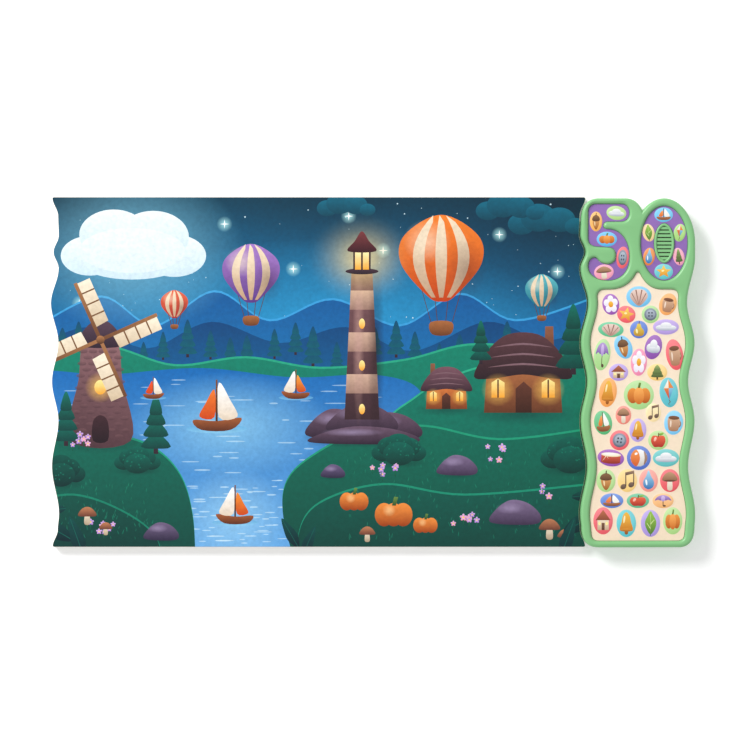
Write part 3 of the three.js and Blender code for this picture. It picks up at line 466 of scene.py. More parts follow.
def inset(outline, distance):
    """An outline drawn inwards, each point moved along the mean of its two edges' normals."""
    moved, count = [], len(outline)
    for i, point in enumerate(outline):
        a = (Vector(point) - Vector(outline[i - 1])).normalized()
        b = (Vector(outline[(i + 1) % count]) - Vector(point)).normalized()
        inward = Vector((-a.y - b.y, a.x + b.x)).normalized()
        reach = distance / max(0.5, inward.x * -a.y + inward.y * a.x)
        moved.append((point[0] + inward.x * reach, point[1] + inward.y * reach))
    return moved


def anticlockwise(outline):
    area = sum(a[0] * b[1] - b[0] * a[1] for a, b in zip(outline, outline[1:] + outline[:1]))
    clean = [p for p, q in zip(outline, outline[1:] + outline[:1]) if math.dist(p, q) > 0.02]
    return clean if area > 0 else clean[::-1]


MODULE = anticlockwise(module_outline())
FIVE, ZERO, FIELD = (anticlockwise(o()) for o in (five_outline, zero_outline, field_outline))
RIGHT_PAGE, LEFT_PAGE = anticlockwise(page_outline(1)), anticlockwise(page_outline(-1))
print("outlines ready")

# %% [markdown]
# ## Leaves
# A board book's leaf is two printed sheets glued on thick board, with a slightly crushed, rounded
# edge from the die. Three leaves lie on each side; a thin dark line shows between them. They could
# be one block with grooves, but separate plates give the right shadow between leaves.

# %% Leaves
def leaves(outline, name, body, node):
    foot, gap, edge = BOARD + 0.02, 0.08, 0.32
    tops = [foot + LEAF - gap, foot + 2 * LEAF - gap, PAGE_TOP]
    stack = [die_cut(outline, [], foot + LEAF * i, top, edge) for i, top in enumerate(tops)]
    shown(as_mesh(stack, name), name, cut_board, "page_print", body, node)


leaves(LEFT_PAGE, "left_leaves", "front_half", "left_pages")
leaves(RIGHT_PAGE, "right_leaves", "module_half", "right_pages")

# %% [markdown]
# ## Module rim
# The green moulding is a hollow shell: a rounded rim stands 3 mm over a deck, and the deck carries
# the key sheets. The rim is a plate with three windows and a 2.3 mm round on each upper edge. A
# boolean hollows it to 2.2 mm walls as injection moulding would, and the deck is a second plate.

# %% Front housing
def slot(x, y, length, width):
    half = width / 2
    ends = [(x + length / 2 - half, -90), (x - length / 2 + half, 90)]
    turns = [(cx, math.radians(start + 30 * i)) for cx, start in ends for i in range(7)]
    return [(cx + half * math.cos(a), y + half * math.sin(a)) for cx, a in turns]


ROUND, OVERLAP, SLOT_PITCH, SLOT_WIDTH = 2.3, 0.3, 2.84, 0.9
MOUTH_WIDTH, MOUTH_HEIGHT = 5.7, 13.0
grille_x, grille_y = MODULE_X + ZERO_X, ZERO_Y
slots = []
for i in range(10):
    offset = (i - 4.5) * SLOT_PITCH
    reach = MOUTH_WIDTH * math.sqrt(max(0.05, 1 - (offset / MOUTH_HEIGHT) ** 2))
    slots.append(slot(grille_x, grille_y + offset, 2 * reach, SLOT_WIDTH))
tail_places = [(MODULE_X + FIVE_LEFT + FIVE_WIDTH / 2, FIVE_BOTTOM + 5), (grille_x, FIVE_BOTTOM + 5),
               (MODULE_X, SHOULDER - 5)]
tails = [slot(x, y, 12.6, 1.0) for x, y in tail_places]
rim = die_cut(MODULE, [FIVE, ZERO, FIELD], PARTING, RIM_TOP, ROUND, square_base=True)
cavity = die_cut(inset(MODULE, WALL), [], PARTING - 1, DECK_UNDER)
rim_mesh = carved(as_mesh([rim], "rim"), [cavity])
deck = die_cut(inset(MODULE, WALL - 0.2), slots + tails, DECK_UNDER, DECK_TOP)
grille = die_cut(ellipse(grille_x, grille_y, MOUTH_WIDTH + 0.5, MOUTH_HEIGHT + 0.5), slots, DECK_TOP - 0.4, 17.0)
collar = die_cut(ellipse(grille_x, grille_y, MOUTH_WIDTH + 1.9, MOUTH_HEIGHT + 1.9),
                 [ellipse(grille_x, grille_y, MOUTH_WIDTH, MOUTH_HEIGHT)], DECK_TOP - 0.8, 17.9, 0.75)
speaker_rib = die_cut(disc(grille_x, grille_y, 19.4, 48), [disc(grille_x, grille_y, 18.3, 48)],
                      11.7, DECK_UNDER + OVERLAP, 0.2)


def half_width_at(share):
    return HALF_MODULE - WAVE_DEPTH * wave_at(PAGE_WAVE, share)


CREST_SHARES = (0.094, 0.361, 0.583)
posts = [(MODULE_X + side * (half_width_at(share) - SCREW_SET_IN), share * PAGE_HEIGHT - HALF_HEIGHT)
         for share in CREST_SHARES for side in (-1, 1)]
posts += [(x, MODULE_TOP - SCREW_SET_IN) for x in (MODULE_X + FIVE_LEFT + FIVE_WIDTH / 4, grille_x)]
post_tubes = [die_cut(disc(x, y, POST), [disc(x, y, POST_HOLE, 16)], PARTING, DECK_UNDER + OVERLAP) for x, y in posts]
rim_part = bmesh.new()
rim_part.from_mesh(rim_mesh)
shell = as_mesh([rim_part, deck, grille, collar, speaker_rib] + post_tubes, "module_front")
shown(shell, "module_front", green_abs, "green_housing", "module_half", "front_housing")

# %% [markdown]
# ## Rear housing and battery door
# Under the deck sits a tray with screw posts, a battery box and a square boss that reaches down to
# the table through an opening in the cover. It is the same kind of moulding, so it is stacked from
# the same kind of plates: floor, wall, boss in three layers, box and posts.

# %% Rear housing
def rounded_box(x, y, width, length, radius=2.0):
    points = []
    for cx, cy, start in ((1, 1, 0), (-1, 1, 90), (-1, -1, 180), (1, -1, 270)):
        for i in range(7):
            a = math.radians(start + 15 * i)
            points.append((x + cx * (width / 2 - radius) + radius * math.cos(a),
                           y + cy * (length / 2 - radius) + radius * math.sin(a)))
    return points


def tube(x, y, outer, inner, bottom, top):
    return die_cut(disc(x, y, outer), [disc(x, y, inner, 20)], bottom, top)


BOARD_EDGE = FIVE_BOTTOM + 7
SWITCH_Y = BOARD_EDGE - 33
BOSS_Y, BOSS_SIZE, BOSS_FACE = SWITCH_Y - 13, 46, 0.4
DOOR_Y = BOSS_Y - 10
CELL_Y, DOOR_SCREW_Y = DOOR_Y - 3.6, DOOR_Y + 6.6
FLOOR, FLOOR_TOP, POCKET_ROOF, BOX_TOP = 3.9, 4.0, 2.4, 9.2
DOOR_BORE, SCREW_HEAD = 1.45, 2.9
boss = rounded_box(MODULE_X, BOSS_Y, BOSS_SIZE, BOSS_SIZE)
well = rounded_box(MODULE_X, CELL_Y, 36.2, 12.2, 0.5)
battery_box = rounded_box(MODULE_X, CELL_Y, 38.6, 14.6, 1.0)
door_gap = rounded_box(MODULE_X, DOOR_Y, 42.0, 22.0, 1.6)
door_bore = disc(MODULE_X, DOOR_SCREW_Y, DOOR_BORE, 16)
knob_pocket = rounded_box(MODULE_X, SWITCH_Y, 10.2, 5.0, 0.4)
stem_slot = rounded_box(MODULE_X, SWITCH_Y, 7.0, 2.4, 0.3)
standoffs = [(MODULE_X + side * 22, BOARD_EDGE - 20 + end * 16) for side in (-1, 1) for end in (-1, 1)]
tray = [
    die_cut(MODULE, [boss] + [disc(x, y, SCREW_HEAD) for x, y in posts], BOARD, FLOOR_TOP),
    die_cut(MODULE, [inset(MODULE, WALL)], FLOOR, PARTING),
    die_cut(boss, [door_gap, knob_pocket], BOSS_FACE, 1.8, 0.4),
    die_cut(boss, [well, door_bore, knob_pocket], 1.75, POCKET_ROOF),
    die_cut(boss, [well, door_bore, stem_slot], POCKET_ROOF, FLOOR_TOP),
    die_cut(battery_box, [well], FLOOR, 8.0),
    die_cut(battery_box, [], 8.0, BOX_TOP, 0.3),
    tube(MODULE_X, DOOR_SCREW_Y, 2.8, DOOR_BORE, FLOOR, BOX_TOP),
]
for x, y in posts:
    tray += [tube(x, y, POST, POST_HOLE, 5.0, PARTING), tube(x, y, POST, SCREW_HEAD, FLOOR, 5.0)]
tray += [tube(x, y, 2.6, 1.3, FLOOR, 7.6) for x, y in standoffs]
shown(as_mesh(tray, "module_back"), "module_back", green_abs, "green_housing", "module_half", "rear_housing")

# %% Battery door with a sunk screw and finger grooves
grooves = [rounded_box(MODULE_X + side * (17.5 - 1.6 * i), DOOR_SCREW_Y, 0.8, 6.0, 0.35)
           for side in (-1, 1) for i in range(3)]
door_outline = rounded_box(MODULE_X, DOOR_Y, 41.4, 21.4, 1.5)
sunk = disc(MODULE_X, DOOR_SCREW_Y, 2.5, 32)
door = [die_cut(door_outline, [sunk] + grooves, BOSS_FACE, 1.0, 0.15), die_cut(door_outline, [sunk], 0.8, 1.5),
        die_cut(door_outline, [door_bore], 1.5, 1.8)]
shown(as_mesh(door, "battery_lid"), "battery_lid", green_abs, "green_housing", "module_half", "battery_door")

# %% [markdown]
# ## Drawing with paper cut-outs
# A print is one flat skin of ink, yet a picture is made of shapes that lie over each other. Stacked
# cut-outs would flicker and cast tiny shadows. Instead every outline is cut into one flat mesh by a
# Delaunay triangulation, and each corner gets the colour of the shapes that cover it, mixed from
# the lowest to the highest. Colours run smoothly between corners, as airbrushed paint does.

# %% Paints
class Drawing:
    """Shapes in millimetres, the lowest first, each with a paint: colour and cover at a point."""

    def __init__(self):
        self.shapes = []

    def area(self, outline, low, high=None, cover=1.0, slant=0.0):
        """A shape that runs from one colour at its foot to another at its head."""
        outline = anticlockwise([tuple(p) for p in outline])
        ys = [y + slant * x for x, y in outline]
        foot, span = min(ys), max(max(ys) - min(ys), 0.01)
        a, b = Vector(linear(low)[:3]), Vector(linear(high or low)[:3])

        def paint(x, y):
            return a.lerp(b, min(1, max(0, (y + slant * x - foot) / span))), cover

        self.shapes.append((outline, paint))

    def glow(self, x, y, half_width, half_height, colour, cover=1.0, rings=5, fade=1.0):
        """Soft light that fades out from its middle."""
        light = Vector(linear(colour)[:3])

        def paint(px, py):
            r = math.hypot((px - x) / half_width, (py - y) / half_height)
            return light, cover * max(0.0, 1 - r) ** fade

        for i in range(rings, 0, -1):
            outline = ellipse(x, y, half_width, half_height, count=20 + 2 * i, scale=i / rings)
            self.shapes.append((outline, paint if i == rings else None))


def smooth_loop(points, steps=5, closed=True):
    """A soft outline through a few points."""
    loop, count = [], len(points)
    for i in range(count if closed else count - 1):
        around = [i + k - 1 for k in range(4)]
        p = [Vector(points[k % count if closed else min(max(k, 0), count - 1)]) for k in around]
        for s in range(steps):
            t = s / steps
            bend, twist = 2 * p[0] - 5 * p[1] + 4 * p[2] - p[3], 3 * p[1] - p[0] - 3 * p[2] + p[3]
            loop.append(tuple(0.5 * (2 * p[1] + (p[2] - p[0]) * t + bend * t * t + twist * t ** 3)))
    return loop


def block(x0, x1, y0, y1):
    return [(x0, y0), (x1, y0), (x1, y1), (x0, y1)]


def moved(points, x, y, scale=1.0, turn=0.0, flip=1):
    c, s = math.cos(math.radians(turn)) * scale, math.sin(math.radians(turn)) * scale
    return [(x + flip * u * c - v * s, y + flip * u * s + v * c) for u, v in points]


# %% A printed skin
def printed_skin(name, sheets, drawing, bottom, top, spacing, swell=None, openings=()):
    """One closed sheet whose face at the height top carries the drawing as the attribute ink."""
    paper, bare_edge = Vector((0.8, 0.8, 0.78)), (0.75, 0.75, 0.72, 1.0)
    blank = list(sheets) + list(openings)
    cut_away = set(range(len(sheets), len(blank)))
    paints = [None] * len(blank) + [paint for outline, paint in drawing.shapes]
    corners, faces = [], []
    for outline in blank + [outline for outline, paint in drawing.shapes]:
        faces.append(list(range(len(corners), len(corners) + len(outline))))
        corners += outline
    xs, ys = [p[0] for loop in sheets for p in loop], [p[1] for loop in sheets for p in loop]
    for i in range(int((max(xs) - min(xs)) / spacing) + 1):
        for j in range(int((max(ys) - min(ys)) / spacing) + 1):
            corners.append((min(xs) + (i + 0.5 * (j % 2)) * spacing, min(ys) + j * spacing))
    found = delaunay_2d_cdt([Vector(p) for p in corners], [], faces, 1, 1e-3, True)
    points, triangles, sources = found[0], found[2], found[5]
    sheet = bmesh.new()
    grown = [sheet.verts.new((p.x / 1000, p.y / 1000, bottom / 1000)) for p in points]
    cover = {}
    for triangle, source in zip(triangles, sources):
        if source and min(source) < len(sheets) and not cut_away & set(source):
            face = sheet.faces.new([grown[k] for k in triangle])
            cover[face] = sorted(source)
    sheet.normal_update()
    ink = sheet.loops.layers.float_color.new("ink")
    for face, source in cover.items():
        for loop in face.loops:
            x, y = loop.vert.co.x * 1000, loop.vert.co.y * 1000
            colour = paper.copy()
            for k in source:
                if paints[k]:
                    shade, strength = paints[k](x, y)
                    colour = colour.lerp(shade, strength)
            loop[ink] = (*colour, 1.0)
    bmesh.ops.delete(sheet, geom=[v for v in sheet.verts if not v.link_faces], context="VERTS")
    lower = sheet.faces[:]
    raised = bmesh.ops.extrude_face_region(sheet, geom=lower)["geom"]
    for vertex in (g for g in raised if isinstance(g, bmesh.types.BMVert)):
        lift = swell(vertex.co.x * 1000, vertex.co.y * 1000) if swell else 0.0
        vertex.co.z = (top + lift) / 1000
    upper = {g for g in raised if isinstance(g, bmesh.types.BMFace)}
    for face in sheet.faces:
        if face not in upper:
            for loop in face.loops:
                loop[ink] = bare_edge
    bmesh.ops.recalc_face_normals(sheet, faces=sheet.faces)
    mesh = bpy.data.meshes.new(name)
    sheet.to_mesh(mesh)
    sheet.free()
    return mesh


print("drawing tools ready")

# %% [markdown]
# ## Fifty key pictures
# Each key of the real thing shows a small picture in a coloured oval. These are plain toy-box
# pictures, drawn once in a square from -1 to 1 and placed on many keys: an e is an ellipse, a p is
# a polygon and an s is a soft outline through its points. Each shape has a colour at its foot and
# another at its head, so even a thumbnail looks softly lit.

# %% Picture book of small things
def both(*half):
    """A shape that is the same left and right, given by its right half from one end to the other."""
    return list(half) + [(-x, y) for x, y in reversed(half) if x]


PETALS = ((0, .52), (.5, .17), (.32, -.42), (-.32, -.42), (-.5, .17))
BUTTON_HOLES = ((-.18, -.18), (.18, -.18), (-.18, .18), (.18, .18))
STAR_POINTS = [(r * math.sin(math.pi * k / 5), r * math.cos(math.pi * k / 5))
               for k, r in enumerate((.9, .405) * 5)]
PICTURES = {
    "bell": [("s", both((0, -.62), (.7, -.5), (.5, .1), (.35, .6), (0, .85)), "c8741e", "f6c04a"),
             ("e", 0, -.68, .2, .17, 0, "8a4a18", "b8702a"), ("e", 0, -.5, .72, .12, 0, "a85c1c", "e09a3a"),
             ("e", -.22, .3, .1, .3, -12, "fbe09a", "fff2c8")],
    "drum": [("p", block(-.75, .75, -.5, .4), "a03a2c", "d8604a"),
             ("e", 0, -.5, .75, .22, 0, "8c3024", "b04434"),
             ("p", [(-.7, -.6), (-.35, .35), (0, -.7), (.35, .35), (.7, -.6), (.35, .2), (0, -.55), (-.35, .2)],
              "f0d8a8", "fff0d0"),
             ("e", 0, .4, .78, .27, 0, "e8d0a0", "fff6e4"), ("e", 0, .42, .64, .19, 0, "f6ead0", "ffffff")],
    "leaf": [("s", [(0, -.85), (.5, -.4), (.62, .15), (.25, .7), (0, .95), (-.3, .6), (-.6, .1), (-.45, -.4)],
              "4c7a2c", "9cc852"),
             ("p", [(-.04, -.95), (.04, -.95), (.03, .7), (-.01, .7)], "3a5e20", "d4e8a0"),
             ("p", [(0, -.1), (.42, .25), (.4, .3), (0, 0)], "d4e8a0"),
             ("p", [(0, -.35), (-.38, .05), (-.4, 0), (0, -.45)], "d4e8a0")],
    "flower": [("e", *petal, .36, .36, 0, "e8e0f2", "ffffff") for petal in PETALS]
    + [("e", 0, 0, .3, .3, 0, "e08a1e", "ffc94a")],
    "apple": [("s", both((0, -.72), (.45, -.7), (.75, -.1), (.6, .45), (.2, .5), (0, .42)), "a82a22", "ee6a4a"),
              ("p", [(-.05, .35), (.05, .35), (.12, .8), (.02, .82)], "6a4020"),
              ("e", .32, .68, .27, .13, 24, "5a9030", "a6d060"), ("e", -.32, .12, .13, .26, -18, "f6a088", "ffd8c8")],
    "pear": [("s", both((0, -.8), (.5, -.68), (.62, -.2), (.3, .25), (.2, .6), (0, .72)), "b8862a", "ecd45e"),
             ("p", [(-.04, .65), (.05, .65), (.1, .98), (.02, .98)], "6a4020"),
             ("e", -.24, -.2, .12, .28, 10, "f4e496", "fff8d0")],
    "note": [("e", u, v, .32, .24, 16, "54423a", "8a705e") for u, v in ((-.42, -.55), (.42, -.38))]
    + [("p", block(-.22, -.1, -.5, .72), "54423a", "8a705e"), ("p", block(.62, .74, -.34, .9), "54423a", "8a705e"),
       ("p", [(-.22, .45), (.74, .65), (.74, .92), (-.22, .74)], "54423a", "a8886e")],
    "boat": [("s", both((0, -.34), (.8, -.28), (.5, -.72)), "7a4628", "b4744a"),
             ("p", block(-.04, .04, -.35, .9), "5c3620"),
             ("s", [(.1, -.22), (.66, -.2), (.5, .3), (.1, .82)], "f0ece4", "ffffff"),
             ("s", [(-.1, -.22), (-.55, -.2), (-.4, .25), (-.1, .62)], "e06a2a", "ffa860")],
    "ball": [("e", 0, 0, .74, .74, 0, "c8c0b4", "ffffff"),
             ("s", [(-.2, -.72), (.1, 0), (-.2, .72), (-.6, .42), (-.72, 0), (-.6, -.42)], "d25a2a", "f79a52"),
             ("s", [(.42, -.6), (.5, 0), (.42, .6), (.66, .3), (.74, 0), (.66, -.3)], "8a6a5a", "b89684"),
             ("e", -.24, .36, .14, .1, 30, "ffffff")],
    "drop": [("s", both((0, -.8), (.5, -.58), (.6, -.1), (.28, .4), (0, .95)), "2a6fb0", "a8dcf4"),
             ("e", -.24, -.16, .1, .28, 10, "e4f6ff", "ffffff")],
    "acorn": [("s", both((0, -.88), (.42, -.45), (.5, .15)), "9a5a24", "dca060"),
              ("s", both((0, 0), (.64, .12), (.5, .5), (0, .68)), "5c3c28", "8e6a4a"),
              ("p", [(-.06, .6), (.06, .6), (.1, .9), (-.02, .9)], "4c3020"),
              ("e", -.2, -.25, .08, .26, 8, "f0c890", "fce8c0")],
    "house": [("p", block(-.6, .6, -.7, .1), "c8a888", "f2e2c8"),
              ("p", both((.8, .05), (0, .85)), "8c4a34", "c07050"),
              ("p", block(-.16, .16, -.7, -.15), "5a3a2a", "7c5640")]
    + [("e", u, -.2, .13, .13, 0, "fff0a0") for u in (.38, -.38)],
    "kite": [("p", both((0, -.5), (.55, .3), (0, .92)), "c83a3a", "f6a04a"),
             ("p", [(0, -.5), (.55, .3), (0, .3)], "2f7fae", "8cc8e4"),
             ("p", [(0, .3), (-.55, .3), (0, .92)], "f2e2c8", "ffffff"),
             ("s", [(0, -.5), (.14, -.66), (-.06, -.8), (.1, -.95), (-.14, -.8), (.04, -.66), (-.06, -.52)], "6a5a50")],
    "cup": [("e", .52, -.08, .3, .34, 0, "8a5c44", "b88a6c"), ("e", .52, -.08, .17, .2, 0, "e8d4bc"),
            ("s", both((.3, -.72), (.56, -.5), (.6, .42)), "a8785a", "dcb494"),
            ("e", 0, .42, .6, .17, 0, "6a4430", "8a5c44"), ("e", -.32, -.1, .09, .3, 0, "e8ccb4", "f6e4d4")],
    "mushroom": [("s", both((.26, -.8), (.2, .1)), "d8c8b0", "fbf2e2"),
                 ("s", both((0, -.1), (.8, .02), (.58, .5), (0, .78)), "8c6248", "c49a78"),
                 ("e", 0, -.02, .62, .09, 0, "6a4836")],
    "star": [("p", STAR_POINTS, "e08a1e", "ffdc6a"), ("e", -.1, .12, .16, .12, 20, "ffeeb0")],
    "cloud": [("e", -.42, -.1, .42, .36, 0, "a8b0be", "ffffff"), ("e", .42, -.12, .42, .34, 0, "a8b0be", "ffffff"),
              ("e", 0, .2, .46, .44, 0, "c8ced8", "ffffff"), ("e", 0, -.24, .7, .26, 0, "a0a8b8", "eef0f4")],
    "shell": [("s", both((.2, -.8), (.72, -.05), (.6, .5), (.25, .74)), "b48a7c", "f2d8cc")]
    + [("p", [(side * u, v) for u, v in groove], "94695c") for groove in
       ([(0, -.75), (.03, -.75), (.3, .66), (.2, .7)], [(.08, -.75), (.12, -.7), (.62, .3), (.58, .4)])
       for side in (1, -1)],
    "pumpkin": [("e", -.42, -.05, .38, .55, 0, "b4561a", "f09a44"), ("e", .42, -.05, .38, .55, 0, "b4561a", "f09a44"),
                ("e", 0, -.05, .36, .62, 0, "cc6a20", "ffb45e"),
                ("p", [(-.08, .5), (.08, .5), (.16, .86), (0, .88)], "4a6428", "7c9c46")],
    "button": [("e", 0, 0, .74, .74, 0, "5c6474", "9aa4b4"), ("e", 0, 0, .54, .54, 0, "7c8696", "b8c2d0")]
    + [("e", *hole, .1, .1, 0, "3c4450") for hole in BUTTON_HOLES],
    "umbrella": [("s", both((0, .14), (.26, .02), (.5, .14), (.82, .02), (.55, .55), (0, .8)), "7a5aa4", "c0a4de"),
                 ("p", block(-.04, .04, -.7, .1), "5a4434"), ("e", .12, -.72, .16, .12, 0, "5a4434"),
                 ("e", 0, .3, .2, .4, 0, "a88cd0", "dcc8ee")],
    "fir": [("p", block(-.09, .09, -.9, -.4), "5c3c28")]
    + [("s", both((0, foot), (width, foot + rise), (0, tip)), low, high) for foot, rise, width, tip, low, high in
       ((-.62, .12, .66, .2, "4a5c34", "7c9050"), (-.2, .08, .52, .6, "566a3c", "8ca45c"),
        (.24, .06, .36, .95, "64784a", "a4bc70"))],
}
print("pictures", len(PICTURES))

# %% Keys: centre as shares of the window, half width, half height, tilt, oval colour, picture
FIVE_KEYS = [(.68, .88, 7.5, 5.3, -8, "b5d98a", "cloud"), (.19, .77, 4.7, 7.5, 0, "f7b45c", "acorn"),
             (.45, .54, 7.7, 5.6, 0, "5fb8ee", "pumpkin"), (.83, .3, 4.7, 8.3, -6, "f0626a", "button"),
             (.38, .11, 7.4, 5.8, 8, "f39ab4", "mushroom")]
ZERO_KEYS = [(.49, .88, 7, 5.5, 0, "6cc4f0", "boat"), (.17, .64, 4.5, 6.7, 12, "f6cf9c", "leaf"),
             (.83, .64, 4.5, 6.7, -10, "a8d67c", "kite"), (.18, .32, 4.4, 6.8, -10, "e8843c", "drop"),
             (.81, .32, 4.3, 6.7, 12, "f3a0b8", "fir"), (.49, .12, 7, 5.9, 0, "62c4cc", "star")]
FIELD_KEYS = [
    (.22, .94, 6.4, 8, 10, "9c58b4", "flower"), (.51, .97, 9.5, 8, 0, "72c2ee", "shell"),
    (.81, .94, 6.5, 8.5, -20, "f6a860", "cup"), (.38, .9, 7.1, 6.4, -25, "ee5e66", "star"),
    (.63, .9, 6.7, 6.7, 0, "a9d88c", "button"), (.22, .84, 9.7, 5.7, -4, "5cc08c", "shell"),
    (.51, .84, 6.7, 6.7, 0, "5878d0", "pear"), (.79, .85, 9.8, 5.8, 0, "b49ade", "cloud"),
    (.13, .74, 6.2, 12, -8, "a9d88c", "umbrella"), (.35, .77, 6.5, 9.2, 24, "72c2ee", "acorn"),
    (.66, .77, 6.4, 9.4, -15, "8e52ac", "cloud"), (.88, .74, 6.5, 11.8, 10, "ee5e66", "cup"),
    (.51, .71, 6.1, 10.3, -3, "f08cb0", "flower"), (.3, .67, 7.3, 6.5, 0, "b49ade", "house"),
    (.7, .67, 7.6, 6.4, 0, "f8cf7c", "fir"), (.19, .59, 6.7, 11.1, -8, "f6a050", "bell"),
    (.51, .58, 11.4, 11.1, 0, "a9d88c", "pumpkin"), (.82, .59, 7, 11.3, 6, "58bcc8", "kite"),
    (.14, .47, 6.8, 9.2, 10, "58b878", "boat"), (.35, .5, 5.9, 7, 0, "f08878", "mushroom"),
    (.66, .51, 5.8, 7, 0, "fae0a8", "note"), (.87, .47, 7.2, 9.2, -6, "7cc8f2", "cup"),
    (.5, .44, 6.4, 8.9, -3, "b8a0e0", "bell"), (.31, .4, 7.4, 7.6, -20, "ee5e66", "button"),
    (.71, .4, 7.6, 7.3, 0, "b0d88a", "apple"), (.22, .33, 10.1, 6.4, -8, "9450b0", "drum"),
    (.51, .33, 9.1, 9.2, 0, "5070c8", "ball"), (.79, .33, 10, 6.7, 0, "62c0c0", "cloud"),
    (.17, .24, 7.2, 8.7, 0, "b0d88a", "acorn"), (.39, .24, 7.4, 8.7, 0, "f8d080", "note"),
    (.61, .24, 7.1, 8.6, 0, "f2988c", "drop"), (.83, .24, 7.4, 8.7, 0, "ea5a62", "mushroom"),
    (.23, .16, 8.7, 5.6, 0, "5880d4", "boat"), (.5, .16, 8.5, 5.5, 0, "5cb88c", "apple"),
    (.76, .16, 8, 5.6, 0, "f6b878", "umbrella"), (.14, .08, 7.4, 10.3, 0, "ea5e68", "house"),
    (.38, .07, 7.4, 10.4, 0, "5cc4cc", "bell"), (.63, .07, 7.3, 10.2, 0, "ac96dc", "leaf"),
    (.86, .08, 7.3, 10.3, 0, "aed888", "pumpkin")]
print("keys", len(FIVE_KEYS) + len(ZERO_KEYS) + len(FIELD_KEYS))

# %% Draw and emboss a film
def key_places(keys, left, bottom, width, height):
    return [(left + u * width, bottom + v * height, *rest) for u, v, *rest in keys]


def draw_keys(ground_low, ground_high, outline, keys):
    drawing = Drawing()
    drawing.area(inset(outline, -2), ground_low, ground_high)
    for x, y, half_width, half_height, tilt, colour, picture in keys:
        pale = "%02x%02x%02x" % tuple(min(255, int(int(colour[i:i + 2], 16) * 0.8 + 60)) for i in (0, 2, 4))
        for scale in (1.0, 0.93, 0.84, 0.7):
            drawing.area(ellipse(x, y, half_width, half_height, tilt, 32, scale), colour, pale)
        narrow = min(half_width, half_height)
        size = (half_width + half_height) / 2 if narrow > 5 else 1.1 * narrow
        stretch_x, stretch_y = half_width * 0.96 / size, half_height * 0.96 / size
        for kind, *shape in PICTURES[picture]:
            if kind == "e":
                u, v, ru, rv, turn, low, high = shape + [shape[-1]] * (7 - len(shape))
                points = ellipse(u, v, ru, rv, turn, 14)
            else:
                points, low, high = shape + [shape[-1]] * (3 - len(shape))
                points = smooth_loop(points, 3) if kind == "s" else points
            points = [(u * stretch_x, v * stretch_y) for u, v in points]
            drawing.area(moved(points, x, y, size, tilt * 0.5), low, high)
    return drawing


def swelling(keys):
    """The soft oval rise of each key: 0.35 mm high, its slope about a millimetre wide."""
    height, slope = 0.35, 0.16

    def lift(px, py):
        best = 0.0
        for x, y, half_width, half_height, tilt, *rest in keys:
            turn = math.radians(-tilt)
            u = ((px - x) * math.cos(turn) - (py - y) * math.sin(turn)) / half_width
            v = ((px - x) * math.sin(turn) + (py - y) * math.cos(turn)) / half_height
            r = math.hypot(u, v)
            if r < 1:
                t = min(1.0, (1 - r) / slope)
                best = max(best, height * t * t * (3 - 2 * t) * (0.9 + 0.1 * (1 - r)))
        return best
    return lift


PURPLE, CREAM = ("8a66ae", "9670b8"), ("f5dfc4", "f8e6cf")
FILM_UNDER, FILM_TOP, FILM_GRID, FILM_GAP = 16.0, 16.4, 3.0, 0.3
WINDOWS = [
    ("five_film", "overlay_five", "digit_film", PURPLE, FIVE,
     key_places(FIVE_KEYS, MODULE_X + FIVE_LEFT, FIVE_BOTTOM, FIVE_WIDTH, DIGIT_HEIGHT)),
    ("zero_film", "overlay_zero", "digit_film", PURPLE, ZERO,
     key_places(ZERO_KEYS, grille_x - ZERO_HALF_WIDTH, FIVE_BOTTOM, 2 * ZERO_HALF_WIDTH, 2 * ZERO_HALF_HEIGHT)),
    ("field_film", "overlay_main", "field_film", CREAM, FIELD,
     key_places(FIELD_KEYS, MODULE_X - HALF_MODULE + SIDE_RIM, FIELD_BOTTOM, 2 * (HALF_MODULE - SIDE_RIM),
                SHOULDER - FIELD_BOTTOM))]
for name, node, finish, ground, outline, keys in WINDOWS:
    film = printed_skin(name, [inset(outline, FILM_GAP)], draw_keys(*ground, outline, keys), FILM_UNDER, FILM_TOP,
                        FILM_GRID, swelling(keys))
    if name == "zero_film":
        film = carved(film, [die_cut(ellipse(grille_x, grille_y, 7.9, 15.2), [], FILM_UNDER - 1, FILM_TOP + 1.6)])
    shown(film, name, printed_film, finish, "module_half", node, smooth_below=40)

# %% [markdown]
# ## The open spread
# Board books print a whole spread on one sheet, so the paper runs over the gutter and folds there.
# The picture is an evening at a lake: balloons, boats, a windmill and cottages with lit windows,
# in deep teal, blue and mauve with warm orange accents. Small functions draw each kind of thing.

# %% Things in the picture
dice = random.Random(7)
FLAME = ("f8b040", "fff0a8")


class Thing:
    """Draws in a thing's own units: its middle is (x, y) and its size s, and it may be flipped or made taller."""

    def __init__(self, art, x, y, s, flip=1, tall=1.0):
        self.art, self.x, self.y, self.s, self.flip, self.tall = art, x, y, s, flip, tall

    def at(self, u, v, half_width, half_height):
        return (self.x + self.flip * u * self.s, self.y + v * self.s * self.tall, half_width * self.s,
                half_height * self.s * self.tall)

    def shape(self, points, low, high=None, soft=0, turn=0.0, cover=1.0, slant=0.0):
        points = [(u, v * self.tall) for u, v in (smooth_loop(points, soft) if soft else points)]
        self.art.area(moved(points, self.x, self.y, self.s, turn, self.flip), low, high, cover, slant)

    def oval(self, u, v, half_width, half_height, low, high=None, count=14, cover=1.0, tilt=0):
        self.art.area(ellipse(*self.at(u, v, half_width, half_height), tilt, count), low, high, cover)

    def glow(self, u, v, half_width, half_height, *light):
        self.art.glow(*self.at(u, v, half_width, half_height), *light)


